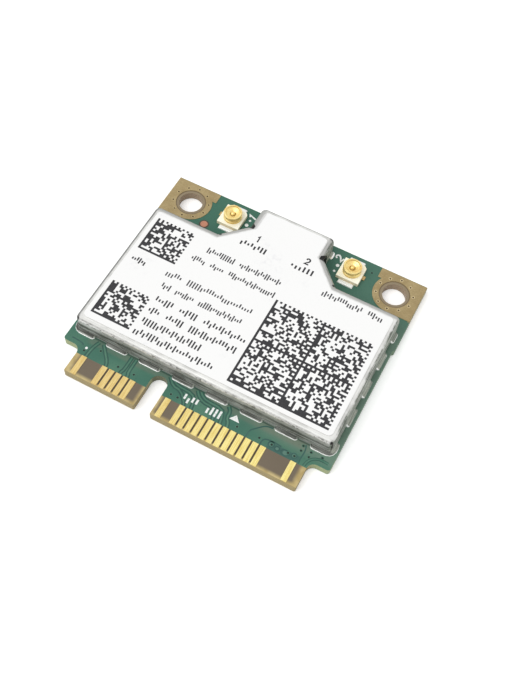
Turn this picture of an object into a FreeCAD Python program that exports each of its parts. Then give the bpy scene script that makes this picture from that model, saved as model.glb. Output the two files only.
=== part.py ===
"""A laptop's half-length mini card radio, in millimetres.

The board lies flat with its contact edge towards -Y, its two screw holes towards +Y and the shield on
top.  The origin is on the resting plane, under the middle of the board, and +Z is up.
"""
import FreeCAD
import Part
import Sketcher
import math
import os

# Driving dimensions.  Insets are measured inwards from the named edge of the board.
SIZES = {
    # Board
    "board_width": 30.0,
    "board_depth": 26.8,
    "board_step_width": 0.2,
    "board_step_inset": 8.7,
    "laminate_thickness": 0.92,
    "copper_thickness": 0.04,
    "tongue_side_margin": 0.65,
    "tongue_length": 3.1,
    "tongue_corner_radius": 0.2,
    "shoulder_inner_radius": 0.8,
    "shoulder_outer_radius": 0.3,
    "bevel_depth": 0.12,
    "key_shift": 0.12,
    "key_width": 1.8,
    "key_length": 4.15,
    "key_corner_radius": 0.15,
    # Edge contacts
    "finger_width": 0.6,
    "finger_length": 2.2,
    "finger_pitch": 0.8,
    "finger_front_inset": 0.15,
    "finger_stagger": 0.4,
    "finger_key_gap": 4.0,
    # Screw holes and their ground pads
    "hole_diameter": 2.6,
    "hole_side_inset": 2.75,
    "hole_back_inset": 2.53,
    "pad_hole_ring": 0.36,
    "pad_arc_radius": 2.35,
    "pad_ear_length": 5.2,
    "pad_ear_depth": 1.3,
    "pad_edge_inset": 0.05,
    "fiducial_diameter": 0.8,
    "fiducial_hole_x": 2.7,
    "fiducial_hole_y": 1.88,
    # Shield outline, shared by the lid and the frame, with its notches round the receptacles
    "shield_side_inset": 0.58,
    "shield_front_inset": 4.7,
    "shield_tab_back_inset": 0.68,
    "shield_back_to_antenna": 3.83,
    "shield_valley_to_antenna": 0.27,
    "shield_tab_to_antenna": 2.85,
    "shield_corner_radius": 0.55,
    "card_height": 3.3,
    # Lid and label
    "lid_sheet": 0.15,
    "lid_bend_radius": 0.45,
    "lid_skirt": 1.2,
    "lid_clearance": 0.04,
    "lid_corner_slit": 0.15,
    "lid_valley_slit": 0.8,
    "label_sheet": 0.08,
    "label_inset": 0.57,
    "label_corner_radius": 0.5,
    # Frame and its solder
    "frame_sheet": 0.2,
    "frame_flange": 0.9,
    "frame_rib": 1.2,
    "foot_gap_width": 1.3,
    "foot_gap_height": 0.25,
    "solder_width": 0.38,
    "solder_height": 0.3,
    "solder_toe": 0.06,
    "solder_end_taper": 0.15,
    # Antenna receptacles
    "antenna_to_hole": 5.1,
    "antenna_back_inset": 2.3,
    "antenna_base_width": 2.55,
    "antenna_base_height": 0.45,
    "antenna_base_chamfer": 0.3,
    "shell_diameter": 2.0,
    "shell_bore": 1.6,
    "shell_height": 1.3,
    "shell_lip": 0.35,
    "shell_chamfer": 0.05,
    "shell_groove_height": 0.2,
    "shell_groove_depth": 0.1,
    "shell_window_width": 1.0,
    "shell_window_height": 0.25,
    "terminal_sheet": 0.1,
    "ground_tab_width": 1.6,
    "ground_tab_reach": 0.45,
    "signal_tab_width": 0.5,
    "signal_tab_reach": 0.3,
    "pin_diameter": 0.45,
    "pin_height": 1.1,
    "pin_tip": 0.1,
    # Chips under the shield
    "radio_left": 3.0,
    "radio_front": 1.0,
    "radio_width": 9.0,
    "radio_height": 0.85,
    "front_end_width": 3.0,
    "front_end_height": 0.75,
    "front_end_spacing": 4.6,
    "regulator_width": 3.0,
    "regulator_height": 0.8,
    "memory_length": 3.0,
    "memory_width": 2.0,
    "memory_height": 0.6,
    "chip_corner": 0.3,
    "crystal_length": 3.2,
    "crystal_width": 2.5,
    "crystal_base_height": 0.4,
    "crystal_cap_height": 0.3,
    "crystal_cap_inset": 0.2,
    # Passive parts under the shield
    "inductor_length": 2.5,
    "inductor_width": 2.0,
    "inductor_height": 1.1,
    "bulk_length": 2.0,
    "bulk_width": 1.25,
    "bulk_height": 1.2,
    "filter_length": 2.0,
    "filter_width": 1.25,
    "filter_height": 0.8,
    "small_length": 1.0,
    "small_width": 0.5,
    "capacitor_height": 0.5,
    "resistor_height": 0.35,
    "small_pitch": 1.5,
    "terminal_length": 0.25,
    "terminal_proud": 0.02,
}

# The contacts that such a card has of its 26 places on each face: odd numbers are on top.
PLACES_BEFORE_KEY = 8
PLACES_PER_FACE = 26
TOP_CONTACTS = [1, *range(7, 18, 2), *range(21, 44, 2), 51]
BOTTOM_CONTACTS = [2, 4, 6, *range(18, 53, 2)]

# How many openings the frame has for tracks along its front and along each side, and how many spaces
# such a row counts for beyond its openings.
FRONT_GAP_COUNT = 7
SIDE_GAP_COUNT = 4
ROW_END_SHARE = 0.5

doc = FreeCAD.newDocument("LaptopWifiCard")
sheet = doc.addObject("Spreadsheet::Sheet", "Sizes")
for row, (alias, number) in enumerate(SIZES.items(), start=1):
    sheet.set(f"A{row}", alias)
    sheet.set(f"B{row}", str(number))
    sheet.setAlias(f"B{row}", alias)
doc.recompute()


class Size:
    """A length that knows its present value and the spreadsheet expression that drives it."""

    def __init__(self, value, text):
        self.value = value
        self.text = text

    def __add__(self, other):
        other = as_size(other)
        return Size(self.value + other.value, f"({self.text} + {other.text})")

    def __sub__(self, other):
        other = as_size(other)
        return Size(self.value - other.value, f"({self.text} - {other.text})")

    def __mul__(self, other):
        other = as_size(other)
        return Size(self.value * other.value, f"({self.text} * {other.text})")

    def __truediv__(self, other):
        other = as_size(other)
        return Size(self.value / other.value, f"({self.text} / {other.text})")

    def __neg__(self):
        return Size(-self.value, f"(-1 * {self.text})")


def as_size(length):
    """Wraps a plain number, so that it can stand beside a Size."""
    if isinstance(length, Size):
        return length
    return Size(length, f"({length:.9f})")


def at_most(length, limit):
    """The smaller of two lengths, for a radius that its wall limits."""
    return Size(min(length.value, limit.value), f"min({length.text}; {limit.text})")


class Sheet:
    """Gives each driving dimension as a Size, by its alias."""

    def __getattr__(self, alias):
        return Size(float(sheet.get(alias)), f"Sizes.{alias}")


dim = Sheet()
ZERO = as_size(0)
nodes = []


def node(item, label):
    """Names a finished sub-part and puts it on the list of files to write."""
    item.Label = label
    nodes.append(item)
    return item


def bind(item, **lengths):
    """Ties properties of an object to spreadsheet expressions."""
    for name, length in lengths.items():
        item.setExpression(name, as_size(length).text)


def place(item, x, y, z, angle=0):
    """Puts an object at a bound place, turned about Z by a fixed angle in degrees."""
    item.Placement = FreeCAD.Placement(FreeCAD.Vector(), FreeCAD.Rotation(FreeCAD.Vector(0, 0, 1), angle))
    for axis, length in zip("xyz", (x, y, z)):
        item.setExpression(f"Placement.Base.{axis}", as_size(length).text)
    return item


def box(x, y, z, length, width, height):
    """A box between bound corners: x, y and z are its lowest corner."""
    item = doc.addObject("Part::Box", "Block")
    bind(item, Length=length, Width=width, Height=height)
    return place(item, x, y, z)


def cylinder(x, y, z, diameter, height):
    """An upright cylinder on a bound centre."""
    item = doc.addObject("Part::Cylinder", "Round")
    bind(item, Radius=as_size(diameter) / 2, Height=height)
    return place(item, x, y, z)


def group(pieces):
    """Several separate solids of the same kind as one object."""
    item = doc.addObject("Part::Compound", "Group")
    item.Links = pieces
    return item


def fuse(pieces):
    """One solid from pieces that meet."""
    item = doc.addObject("Part::MultiFuse", "Joined")
    item.Shapes = pieces
    item.Refine = True
    return item


def cut(base, tool):
    """What is left of base outside tool."""
    item = doc.addObject("Part::Cut", "Trimmed")
    item.Base = base
    item.Tool = tool
    return item


def new_body(x, y, z):
    """An empty body at a bound place."""
    return place(doc.addObject("PartDesign::Body", "Body"), x, y, z)


def new_sketch(body, plane):
    """An empty sketch on one of its body's own origin planes."""
    sketch = body.newObject("Sketcher::SketchObject", "Sketch")
    support = next(part for part in body.Origin.OriginFeatures if part.Role == plane)
    sketch.AttachmentSupport = (support, [""])
    sketch.MapMode = "FlatFace"
    return sketch


def constrain(sketch, kind, geometry, point, length):
    """Fixes one coordinate of a sketch point to a bound length from the origin."""
    index = sketch.addConstraint(Sketcher.Constraint(kind, -1, 1, geometry, point, length.value))
    sketch.setExpression(f"Constraints[{index}]", length.text)


def add_polygon(sketch, points):
    """Adds a closed outline through bound points, each a pair of lengths."""
    points = [(as_size(x), as_size(y)) for x, y in points]
    corners = [FreeCAD.Vector(x.value, y.value, 0) for x, y in points]
    following = corners[1:] + corners[:1]
    lines = [Part.LineSegment(start, end) for start, end in zip(corners, following)]
    first = sketch.addGeometry(lines)[0]
    for index, (x, y) in enumerate(points):
        line = first + index
        before = first + (index - 1) % len(points)
        sketch.addConstraint(Sketcher.Constraint("Coincident", before, 2, line, 1))
        constrain(sketch, "DistanceX", line, 1, x)
        constrain(sketch, "DistanceY", line, 1, y)


def add_circle(sketch, x, y, diameter):
    """Adds a circle on a bound centre."""
    centre = FreeCAD.Vector(x.value, y.value, 0)
    index = sketch.addGeometry(Part.Circle(centre, FreeCAD.Vector(0, 0, 1), diameter.value / 2))
    constrain(sketch, "DistanceX", index, 3, x)
    constrain(sketch, "DistanceY", index, 3, y)
    size = sketch.addConstraint(Sketcher.Constraint("Diameter", index, diameter.value))
    sketch.setExpression(f"Constraints[{size}]", diameter.text)


def rectangle(x, y, length, width):
    """The corners of a rectangle from its middle and sides."""
    x, y, length, width = (as_size(part) for part in (x, y, length, width))
    left, right = x - length / 2, x + length / 2
    low, high = y - width / 2, y + width / 2
    return [(left, low), (right, low), (right, high), (left, high)]


def pad(body, sketch, length, reverse=False):
    """Raises a sketch by a bound length, or takes it down."""
    item = body.newObject("PartDesign::Pad", "Pad")
    item.Profile = sketch
    item.Reversed = reverse
    bind(item, Length=length)
    doc.recompute()
    return item


def pocket(body, sketch, length=None, reverse=False, both_ways=False):
    """Cuts a sketch through the body, or to a bound depth, and makes sure that it cut something."""
    before = body.Shape.Volume
    item = body.newObject("PartDesign::Pocket", "Pocket")
    item.Profile = sketch
    item.Reversed = reverse
    item.SideType = "Symmetric" if both_ways else "One side"
    if length is None:
        item.Type = "ThroughAll"
    else:
        bind(item, Length=length)
    doc.recompute()
    if not body.Shape.Volume < before:
        raise RuntimeError(f"{item.Name} cuts nothing")
    return item


def repeat(body, feature, sketch, axis, count, pitch):
    """Repeats a cut in a row along an axis of its own sketch."""
    item = body.newObject("PartDesign::LinearPattern", "Row")
    item.Originals = [feature]
    item.Direction = (sketch, [axis])
    item.Occurrences = count
    bind(item, Length=pitch * (count - 1))
    body.Tip = item
    doc.recompute()
    return item


def round_edges(body, edges, radius):
    """Rounds the named edges of a body's present shape."""
    base = body.Tip
    item = body.newObject("PartDesign::Fillet", "Fillet")
    item.Base = (base, edges)
    bind(item, Radius=radius)
    doc.recompute()
    return item


def upright_edges(shape, points):
    """Names the vertical edges that stand on the given points of a body's own plane."""
    names = []
    for index, edge in enumerate(shape.Edges, start=1):
        start, end = edge.Vertexes[0].Point, edge.Vertexes[-1].Point
        upright = math.hypot(start.x - end.x, start.y - end.y) < 1e-6
        near = any(math.hypot(start.x - x.value, start.y - y.value) < 1e-4 for x, y in points)
        if upright and near and abs(start.z - end.z) > 1e-6:
            names.append(f"Edge{index}")
    return names


def bevel_edges(body, edges, size):
    """Cuts the named edges of a body's present shape at 45 degrees."""
    base = body.Tip
    item = body.newObject("PartDesign::Chamfer", "Chamfer")
    item.Base = (base, edges)
    bind(item, Size=size)
    doc.recompute()
    return item


def level_edges(shape, height):
    """Names the edges that lie in one level plane of a body."""
    names = []
    for index, edge in enumerate(shape.Edges, start=1):
        bounds = edge.BoundBox
        if abs(bounds.ZMin - height.value) < 1e-4 and abs(bounds.ZMax - height.value) < 1e-4:
            names.append(f"Edge{index}")
    return names


# Levels and lines that several pieces share.
right_edge = dim.board_width / 2
back_edge = dim.board_depth / 2
front_edge = -back_edge
board_bottom = dim.copper_thickness
board_top = dim.copper_thickness + dim.laminate_thickness
lid_top = dim.card_height - dim.label_sheet
frame_top = lid_top - dim.lid_sheet
narrow_edge = right_edge - dim.board_step_width
hole_x = right_edge - dim.hole_side_inset
hole_y = back_edge - dim.hole_back_inset
antenna_x = hole_x - dim.antenna_to_hole
antenna_y = back_edge - dim.antenna_back_inset

# The contact row, from its first place to its last, and the tongue and key that follow it.
row_span = dim.finger_pitch * (PLACES_PER_FACE - 2) + dim.finger_key_gap
tongue_edge = (row_span + dim.finger_stagger + dim.finger_width) / 2 + dim.tongue_side_margin
key_gap_middle = -row_span / 2 + dim.finger_pitch * (PLACES_BEFORE_KEY - 1) + dim.finger_key_gap / 2
key_x = key_gap_middle + dim.key_shift

# The shield's straight sides, before any sheet is taken off.
shield_right = narrow_edge - dim.shield_side_inset
shield_front = front_edge + dim.shield_front_inset
shield_back = antenna_y - dim.shield_back_to_antenna
shield_valley = antenna_x - dim.shield_valley_to_antenna
tab_right = antenna_x - dim.shield_tab_to_antenna
tab_base = shield_back + shield_valley - tab_right
tab_back = back_edge - dim.shield_tab_back_inset
frame_inset = dim.lid_sheet + dim.lid_clearance
lid_bottom = lid_top - dim.lid_skirt

# The frame's openings are spread evenly between its corners.
front_gap_spacing = shield_right * 2 / (FRONT_GAP_COUNT + ROW_END_SHARE)
side_gap_spacing = (shield_back - shield_front) / (SIDE_GAP_COUNT + ROW_END_SHARE)

# How far a corner on the shield's 45 degree shoulder moves along its straight side, for each
# millimetre that the outline is moved inwards.
SHOULDER_SHIFT = math.tan(math.radians(22.5))


def shield_outline(inset):
    """The shield's outline, moved inwards: its right half from the front, then the left half."""
    inset = as_size(inset)
    shift = inset * SHOULDER_SHIFT
    half = [
        (shield_right - inset, shield_front + inset),
        (shield_right - inset, shield_back - inset),
        (shield_valley - shift, shield_back - inset),
        (tab_right - inset, tab_base - shift),
        (tab_right - inset, tab_back - inset),
    ]
    return half + [(-x, y) for x, y in reversed(half)]


def outward_corners(corners):
    """Those corners of an outline, drawn counter-clockwise, that turn outwards."""
    found = []
    before, after = corners[-1:] + corners[:-1], corners[1:] + corners[:1]
    for (last_x, last_y), (x, y), (next_x, next_y) in zip(before, corners, after):
        turn = (x - last_x).value * (next_y - y).value - (y - last_y).value * (next_x - x).value
        if turn > 0:
            found.append((x, y))
    return found


# The most of a shoulder's ledge that the round at the tongue may take.
INNER_SHARE = 0.6


def mirrored(points):
    """Points on the right, and the same points on the left."""
    return points + [(-x, y) for x, y in points]


def make_board():
    """Laminate with a keyed contact tongue, a bevelled front edge and two screw holes."""
    body = new_body(ZERO, ZERO, board_bottom)
    shoulder = front_edge + dim.tongue_length
    step = back_edge - dim.board_step_inset
    half = [
        (tongue_edge, front_edge),
        (tongue_edge, shoulder),
        (narrow_edge, shoulder),
        (narrow_edge, step - dim.board_step_width),
        (right_edge, step),
        (right_edge, back_edge),
    ]
    outline = new_sketch(body, "XY_Plane")
    add_polygon(outline, half + [(-x, y) for x, y in reversed(half)])
    pad(body, outline, dim.laminate_thickness)

    key_round = dim.key_width / 2
    key_end = front_edge + dim.key_length - key_round
    slot = new_sketch(body, "XY_Plane")
    slot_middle = (front_edge + key_end) / 2
    add_polygon(slot, rectangle(key_x, slot_middle, dim.key_width, key_end - front_edge))
    pocket(body, slot, reverse=True)
    slot_end = new_sketch(body, "XY_Plane")
    add_circle(slot_end, key_x, key_end, dim.key_width)
    pocket(body, slot_end, reverse=True)

    holes = new_sketch(body, "XY_Plane")
    add_circle(holes, hole_x, hole_y, dim.hole_diameter)
    add_circle(holes, -hole_x, hole_y, dim.hole_diameter)
    pocket(body, holes, reverse=True)

    key_mouth = [(key_x - key_round, front_edge), (key_x + key_round, front_edge)]
    ledge = narrow_edge - tongue_edge
    inner_radius = at_most(dim.shoulder_inner_radius, ledge * INNER_SHARE)
    outer_radius = at_most(dim.shoulder_outer_radius, ledge * (1 - INNER_SHARE) / 2)
    for corners, radius in (
        (mirrored([(tongue_edge, front_edge)]), dim.tongue_corner_radius),
        (key_mouth, dim.key_corner_radius),
        (mirrored([(tongue_edge, shoulder)]), inner_radius),
        (mirrored([(narrow_edge, shoulder)]), outer_radius),
    ):
        round_edges(body, upright_edges(body.Tip.Shape, corners), radius)

    bevel = new_sketch(body, "YZ_Plane")
    bevel_back = front_edge + dim.finger_front_inset
    for face, depth in ((ZERO, dim.bevel_depth), (dim.laminate_thickness, -dim.bevel_depth)):
        add_polygon(bevel, [(front_edge, face), (bevel_back, face), (front_edge, face + depth)])
    pocket(body, bevel, both_ways=True)
    return node(body, "circuit_board")


def make_fingers(contacts, level, stagger, label):
    """One face's row of gold contacts, numbered from the left with the key's gap between."""
    first = -row_span / 2 + stagger - dim.finger_width / 2
    fingers = []
    for contact in contacts:
        position = (contact - 1) // 2
        x = first + dim.finger_pitch * position
        if position >= PLACES_BEFORE_KEY:
            x = x + dim.finger_key_gap - dim.finger_pitch
        y = front_edge + dim.finger_front_inset
        fingers.append(box(x, y, level, dim.finger_width, dim.finger_length, dim.copper_thickness))
    return node(group(fingers), label)


def make_ground_pad(side, level, label):
    """A bare pad in a back corner, rounded about its screw hole and clear of the hole's edge."""
    deep = dim.hole_back_inset + dim.pad_arc_radius - dim.pad_edge_inset
    low = hole_y - dim.pad_arc_radius
    outer = right_edge - dim.pad_edge_inset
    ear_inner = right_edge - dim.pad_ear_length
    ear_low = back_edge - dim.pad_ear_depth
    wing_left = hole_x if side > 0 else -outer
    ear_left = ear_inner if side > 0 else -outer
    thick = dim.copper_thickness
    wing = box(wing_left, low, level, outer - hole_x, deep, thick)
    ear = box(ear_left, ear_low, level, outer - ear_inner, dim.pad_ear_depth - dim.pad_edge_inset, thick)
    disc = cylinder(hole_x * side, hole_y, level, dim.pad_arc_radius * 2, thick)
    opening = cylinder(hole_x * side, hole_y, level, dim.hole_diameter + dim.pad_hole_ring * 2, thick)
    return node(cut(fuse([wing, ear, disc]), opening), label)


def make_fiducial():
    """The copper dot that an assembly machine aims at."""
    x = -hole_x + dim.fiducial_hole_x
    y = hole_y - dim.fiducial_hole_y
    return node(cylinder(x, y, board_top, dim.fiducial_diameter, dim.copper_thickness), "fiducial_dot")


def tray_block(body, inset, height, corner_radius, bend):
    """A block in the shield's outline, with rounded corners and a bend along its top edges."""
    outline = new_sketch(body, "XY_Plane")
    corners = shield_outline(inset)
    add_polygon(outline, corners)
    pad(body, outline, height)
    round_edges(body, upright_edges(body.Tip.Shape, outward_corners(corners)), corner_radius)
    shape_bend, size = bend
    shape_bend(body, level_edges(body.Tip.Shape, height), size)
    return body


def hollow_out(body, sheet_thickness):
    """Leaves a block as sheet of one thickness, open below."""
    floor = next(
        f"Face{index}"
        for index, face in enumerate(body.Tip.Shape.Faces, start=1)
        if abs(face.BoundBox.ZMax) < 1e-4
    )
    solid = body.Tip
    shell = body.newObject("PartDesign::Thickness", "Sheet")
    shell.Base = (solid, [floor])
    shell.Reversed = True
    bind(shell, Value=sheet_thickness)
    doc.recompute()


def add_ring(body, outer_inset, inner_inset, height, reverse=False):
    """A band of sheet between two insets of the shield's outline, up or down from the body's plane."""
    ring = new_sketch(body, "XY_Plane")
    add_polygon(ring, shield_outline(outer_inset))
    add_polygon(ring, shield_outline(inner_inset))
    pad(body, ring, height, reverse)


# The bevel that just touches a bend of unit radius, for the inside of the lid's bends.
BEND_BEVEL = 2 - math.sqrt(2)


def make_lid():
    """The folded lid: its skirt is slit at every corner, where the blank was notched."""
    body = new_body(ZERO, ZERO, lid_bottom)
    bend = (round_edges, dim.lid_bend_radius)
    tray_block(body, ZERO, dim.lid_skirt, dim.shield_corner_radius, bend)
    slits = new_sketch(body, "XY_Plane")
    corners = shield_outline(ZERO)
    half = len(corners) // 2
    directions = [-45, 45, 67.5, 22.5, 45]
    widths = [dim.lid_corner_slit] * 2 + [dim.lid_valley_slit] * 2 + [dim.lid_corner_slit]
    reach = dim.shield_corner_radius + dim.lid_sheet
    for (x, y), angle, width in zip(corners[:half], directions, widths):
        across = math.cos(math.radians(angle))
        along = math.sin(math.radians(angle))
        quad = []
        for out, aside in ((-1, -0.5), (1, -0.5), (1, 0.5), (-1, 0.5)):
            quad.append((
                x + reach * (out * across) - width * (aside * along),
                y + reach * (out * along) + width * (aside * across),
            ))
        add_polygon(slits, quad)
        add_polygon(slits, [(-px, py) for px, py in quad])
    pocket(body, slits, dim.lid_skirt - dim.lid_bend_radius, reverse=True)

    core = new_body(ZERO, ZERO, lid_bottom)
    inner_radius = dim.shield_corner_radius - dim.lid_sheet
    inner_bend = (bevel_edges, (dim.lid_bend_radius - dim.lid_sheet) * BEND_BEVEL)
    tray_block(core, dim.lid_sheet, dim.lid_skirt - dim.lid_sheet, inner_radius, inner_bend)
    return node(cut(body, core), "shield_lid")


def make_frame():
    """The soldered frame: a wall that steps in under the lid's skirt, a flange and rib, and feet."""
    step = lid_bottom - dim.lid_clearance - dim.frame_sheet
    rise = step - board_top
    body = new_body(ZERO, ZERO, step)
    corner_radius = dim.shield_corner_radius - frame_inset
    bend = (bevel_edges, dim.lid_bend_radius - frame_inset)
    tray_block(body, frame_inset, frame_top - step, corner_radius, bend)
    hollow_out(body, dim.frame_sheet)
    add_ring(body, ZERO, frame_inset + dim.frame_sheet, dim.frame_sheet)
    add_ring(body, ZERO, dim.frame_sheet, rise, reverse=True)
    foot_corners = outward_corners(shield_outline(ZERO))
    round_edges(body, upright_edges(body.Tip.Shape, foot_corners), dim.shield_corner_radius)

    flange = frame_inset + dim.frame_flange
    window_right = shield_right - flange
    rib = dim.frame_rib / 2
    window_length = window_right - rib
    window_x = (window_right + rib) / 2
    window_y = (shield_front + shield_back) / 2
    window_width = shield_back - shield_front - flange * 2
    windows = new_sketch(body, "XY_Plane")
    add_polygon(windows, rectangle(window_x, window_y, window_length, window_width))
    add_polygon(windows, rectangle(-window_x, window_y, window_length, window_width))
    tab_window = tab_back - flange - shield_back
    add_polygon(windows, rectangle(ZERO, shield_back + tab_window / 2, (tab_right - flange) * 2, tab_window))
    pocket(body, windows, reverse=True)

    gap = dim.foot_gap_width
    gap_rise = dim.foot_gap_height
    gap_middle = gap_rise / 2 - rise
    front = new_sketch(body, "XZ_Plane")
    first_gap = -front_gap_spacing * ((FRONT_GAP_COUNT - 1) / 2)
    add_polygon(front, rectangle(first_gap, gap_middle, gap, gap_rise))
    front_cut = pocket(body, front, reverse=True)
    repeat(body, front_cut, front, "H_Axis", FRONT_GAP_COUNT, front_gap_spacing)

    sides = new_sketch(body, "YZ_Plane")
    first_gap = window_y - side_gap_spacing * ((SIDE_GAP_COUNT - 1) / 2)
    add_polygon(sides, rectangle(first_gap, gap_middle, gap, gap_rise))
    side_cut = pocket(body, sides, both_ways=True)
    repeat(body, side_cut, sides, "H_Axis", SIDE_GAP_COUNT, side_gap_spacing)

    back = new_sketch(body, "XZ_Plane")
    back_gap = (shield_right + shield_valley) / 2
    for x in (-back_gap, ZERO, back_gap):
        add_polygon(back, rectangle(x, gap_middle, gap, gap_rise))
    pocket(body, back)
    return node(body, "shield_frame")


def make_label():
    """The printed sheet on the lid, with rounded corners."""
    body = new_body(ZERO, ZERO, lid_top)
    outline = new_sketch(body, "XY_Plane")
    corners = shield_outline(dim.label_inset)
    add_polygon(outline, corners)
    pad(body, outline, dim.label_sheet)
    round_edges(body, upright_edges(body.Tip.Shape, outward_corners(corners)), dim.label_corner_radius)
    return node(body, "lid_label")


def solder_fillet(x, y, angle, length):
    """A run of solder against the foot of the frame: angle turns its outer side from +Y."""
    item = doc.addObject("Part::Wedge", "SolderRun")
    bind(
        item,
        Xmin=-length / 2,
        Xmax=length / 2,
        X2min=-length / 2 + dim.solder_end_taper,
        X2max=length / 2 - dim.solder_end_taper,
        Ymin=ZERO,
        Ymax=dim.solder_width,
        Zmin=ZERO,
        Zmax=dim.solder_height,
        Z2min=ZERO,
        Z2max=dim.solder_toe,
    )
    return place(item, x, y, board_top, angle)


def make_solder():
    """Solder along the outside of every foot of the frame."""
    gap = dim.foot_gap_width
    corner = dim.shield_corner_radius
    runs = []

    def row(middle, pitch, gaps, low_end, high_end, put):
        """Runs between a row of gaps, and one at each end that stops before the corner's bend."""
        for index in range(gaps - 1):
            put(middle + pitch * (index - (gaps - 2) / 2), pitch - gap)
        reach = pitch * ((gaps - 1) / 2) + gap / 2
        low, high = middle - reach, middle + reach
        put((low_end + low) / 2, low - low_end)
        put((high_end + high) / 2, high_end - high)

    def put_front(x, length):
        runs.append(solder_fillet(x, shield_front, 180, length))

    def put_right(y, length):
        runs.append(solder_fillet(shield_right, y, -90, length))

    def put_left(y, length):
        runs.append(solder_fillet(-shield_right, y, 90, length))

    side_low, side_high = shield_front + corner, shield_back - corner
    side_middle = (shield_front + shield_back) / 2
    row(ZERO, front_gap_spacing, FRONT_GAP_COUNT, -shield_right + corner, shield_right - corner, put_front)
    row(side_middle, side_gap_spacing, SIDE_GAP_COUNT, side_low, side_high, put_right)
    row(side_middle, side_gap_spacing, SIDE_GAP_COUNT, side_low, side_high, put_left)

    back_middle = (shield_right + shield_valley) / 2
    outer_length = shield_right - corner - back_middle - gap / 2
    tab_length = tab_right - corner - gap / 2
    tab_side_length = tab_back - corner * 2 - tab_base
    tab_side_y = tab_base + corner + tab_side_length / 2
    for side in (-1, 1):
        outer_x = back_middle + gap / 2 + outer_length / 2
        runs.append(solder_fillet(outer_x * side, shield_back, 0, outer_length))
        tab_x = gap / 2 + tab_length / 2
        runs.append(solder_fillet(tab_x * side, tab_back, 0, tab_length))
        runs.append(solder_fillet(tab_right * side, tab_side_y, -90 * side, tab_side_length))
    return node(group(runs), "frame_solder")


def make_antenna(side, name):
    """A press-on coaxial receptacle: a grooved shell and a centre contact in a moulded base."""
    x = antenna_x * side
    inner = dim.shell_bore / 2
    outer = dim.shell_diameter / 2
    waist = outer - dim.shell_groove_depth
    groove_top = dim.shell_height - dim.shell_lip
    groove_low = groove_top - dim.shell_groove_height
    slope = dim.shell_groove_depth

    shell = new_body(x, antenna_y, board_top)
    profile = new_sketch(shell, "XZ_Plane")
    add_polygon(profile, [
        (inner, ZERO),
        (outer, ZERO),
        (outer, groove_low - slope),
        (waist, groove_low),
        (waist, groove_top),
        (outer, groove_top + slope),
        (outer, dim.shell_height - dim.shell_chamfer),
        (outer - dim.shell_chamfer, dim.shell_height),
        (inner, dim.shell_height),
    ])
    turned = shell.newObject("PartDesign::Revolution", "Turned")
    turned.Profile = profile
    turned.ReferenceAxis = (profile, ["V_Axis"])
    turned.Angle = 360
    doc.recompute()
    window = new_sketch(shell, "YZ_Plane")
    rise = dim.shell_window_height
    add_polygon(window, rectangle(ZERO, rise / 2, dim.shell_window_width, rise))
    pocket(shell, window, both_ways=True)
    tabs = new_sketch(shell, "XY_Plane")
    tab_end = dim.antenna_base_width / 2 + dim.ground_tab_reach
    tab_middle = (inner + tab_end) / 2
    add_polygon(tabs, rectangle(ZERO, tab_middle, dim.ground_tab_width, tab_end - inner))
    add_polygon(tabs, rectangle(ZERO, -tab_middle, dim.ground_tab_width, tab_end - inner))
    pad(shell, tabs, dim.terminal_sheet)

    contact = new_body(x, antenna_y, board_top)
    round_pin = new_sketch(contact, "XY_Plane")
    add_circle(round_pin, ZERO, ZERO, dim.pin_diameter)
    pad(contact, round_pin, dim.pin_height)
    bevel_edges(contact, level_edges(contact.Tip.Shape, dim.pin_height), dim.pin_tip)
    tail = new_sketch(contact, "XY_Plane")
    tail_end = dim.antenna_base_width / 2 + dim.signal_tab_reach
    add_polygon(tail, rectangle(tail_end / 2 * side, ZERO, tail_end, dim.signal_tab_width))
    pad(contact, tail, dim.terminal_sheet)

    moulding = new_body(x, antenna_y, board_top)
    plan = new_sketch(moulding, "XY_Plane")
    half = dim.antenna_base_width / 2
    chamfer = dim.antenna_base_chamfer
    add_polygon(plan, [
        (-half, -half),
        (half, -half),
        (half, half - chamfer),
        (half - chamfer, half),
        (-half, half),
    ])
    pad(moulding, plan, dim.antenna_base_height)
    node(cut(cut(moulding, shell), contact), f"{name}_antenna_base")
    node(shell, f"{name}_antenna_shell")
    node(contact, f"{name}_antenna_contact")


def chip(x, y, length, width, height, label):
    """A moulded chip about a bound middle, with a cut corner that marks its first pin."""
    body = new_body(x, y, board_top)
    plan = new_sketch(body, "XY_Plane")
    right, back = length / 2, width / 2
    corner = dim.chip_corner
    add_polygon(plan, [
        (-right, -back),
        (right, -back),
        (right, back),
        (corner - right, back),
        (-right, back - corner),
    ])
    pad(body, plan, height)
    return node(body, label)


def two_ended(x, y, length, width, height):
    """A passive part about a bound middle: a body between two slightly larger end caps along X."""
    end, proud = dim.terminal_length, dim.terminal_proud
    left = x - length / 2
    wide = width + proud * 2
    tall = height + proud
    core = box(left + end, y - width / 2, board_top, length - end * 2, width, height)
    first = box(left, y - wide / 2, board_top, end, wide, tall)
    last = box(left + length - end, y - wide / 2, board_top, end, wide, tall)
    return fuse([first, core, last])


def make_crystal(x, y):
    """The reference crystal: a ceramic tub with a welded metal cap."""
    length, width, inset = dim.crystal_length, dim.crystal_width, dim.crystal_cap_inset
    tub = box(x - length / 2, y - width / 2, board_top, length, width, dim.crystal_base_height)
    cap_z = board_top + dim.crystal_base_height
    cap_length, cap_width = length - inset * 2, width - inset * 2
    cap = box(x - cap_length / 2, y - cap_width / 2, cap_z, cap_length, cap_width, dim.crystal_cap_height)
    return node(fuse([tub, cap]), "reference_crystal")


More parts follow.
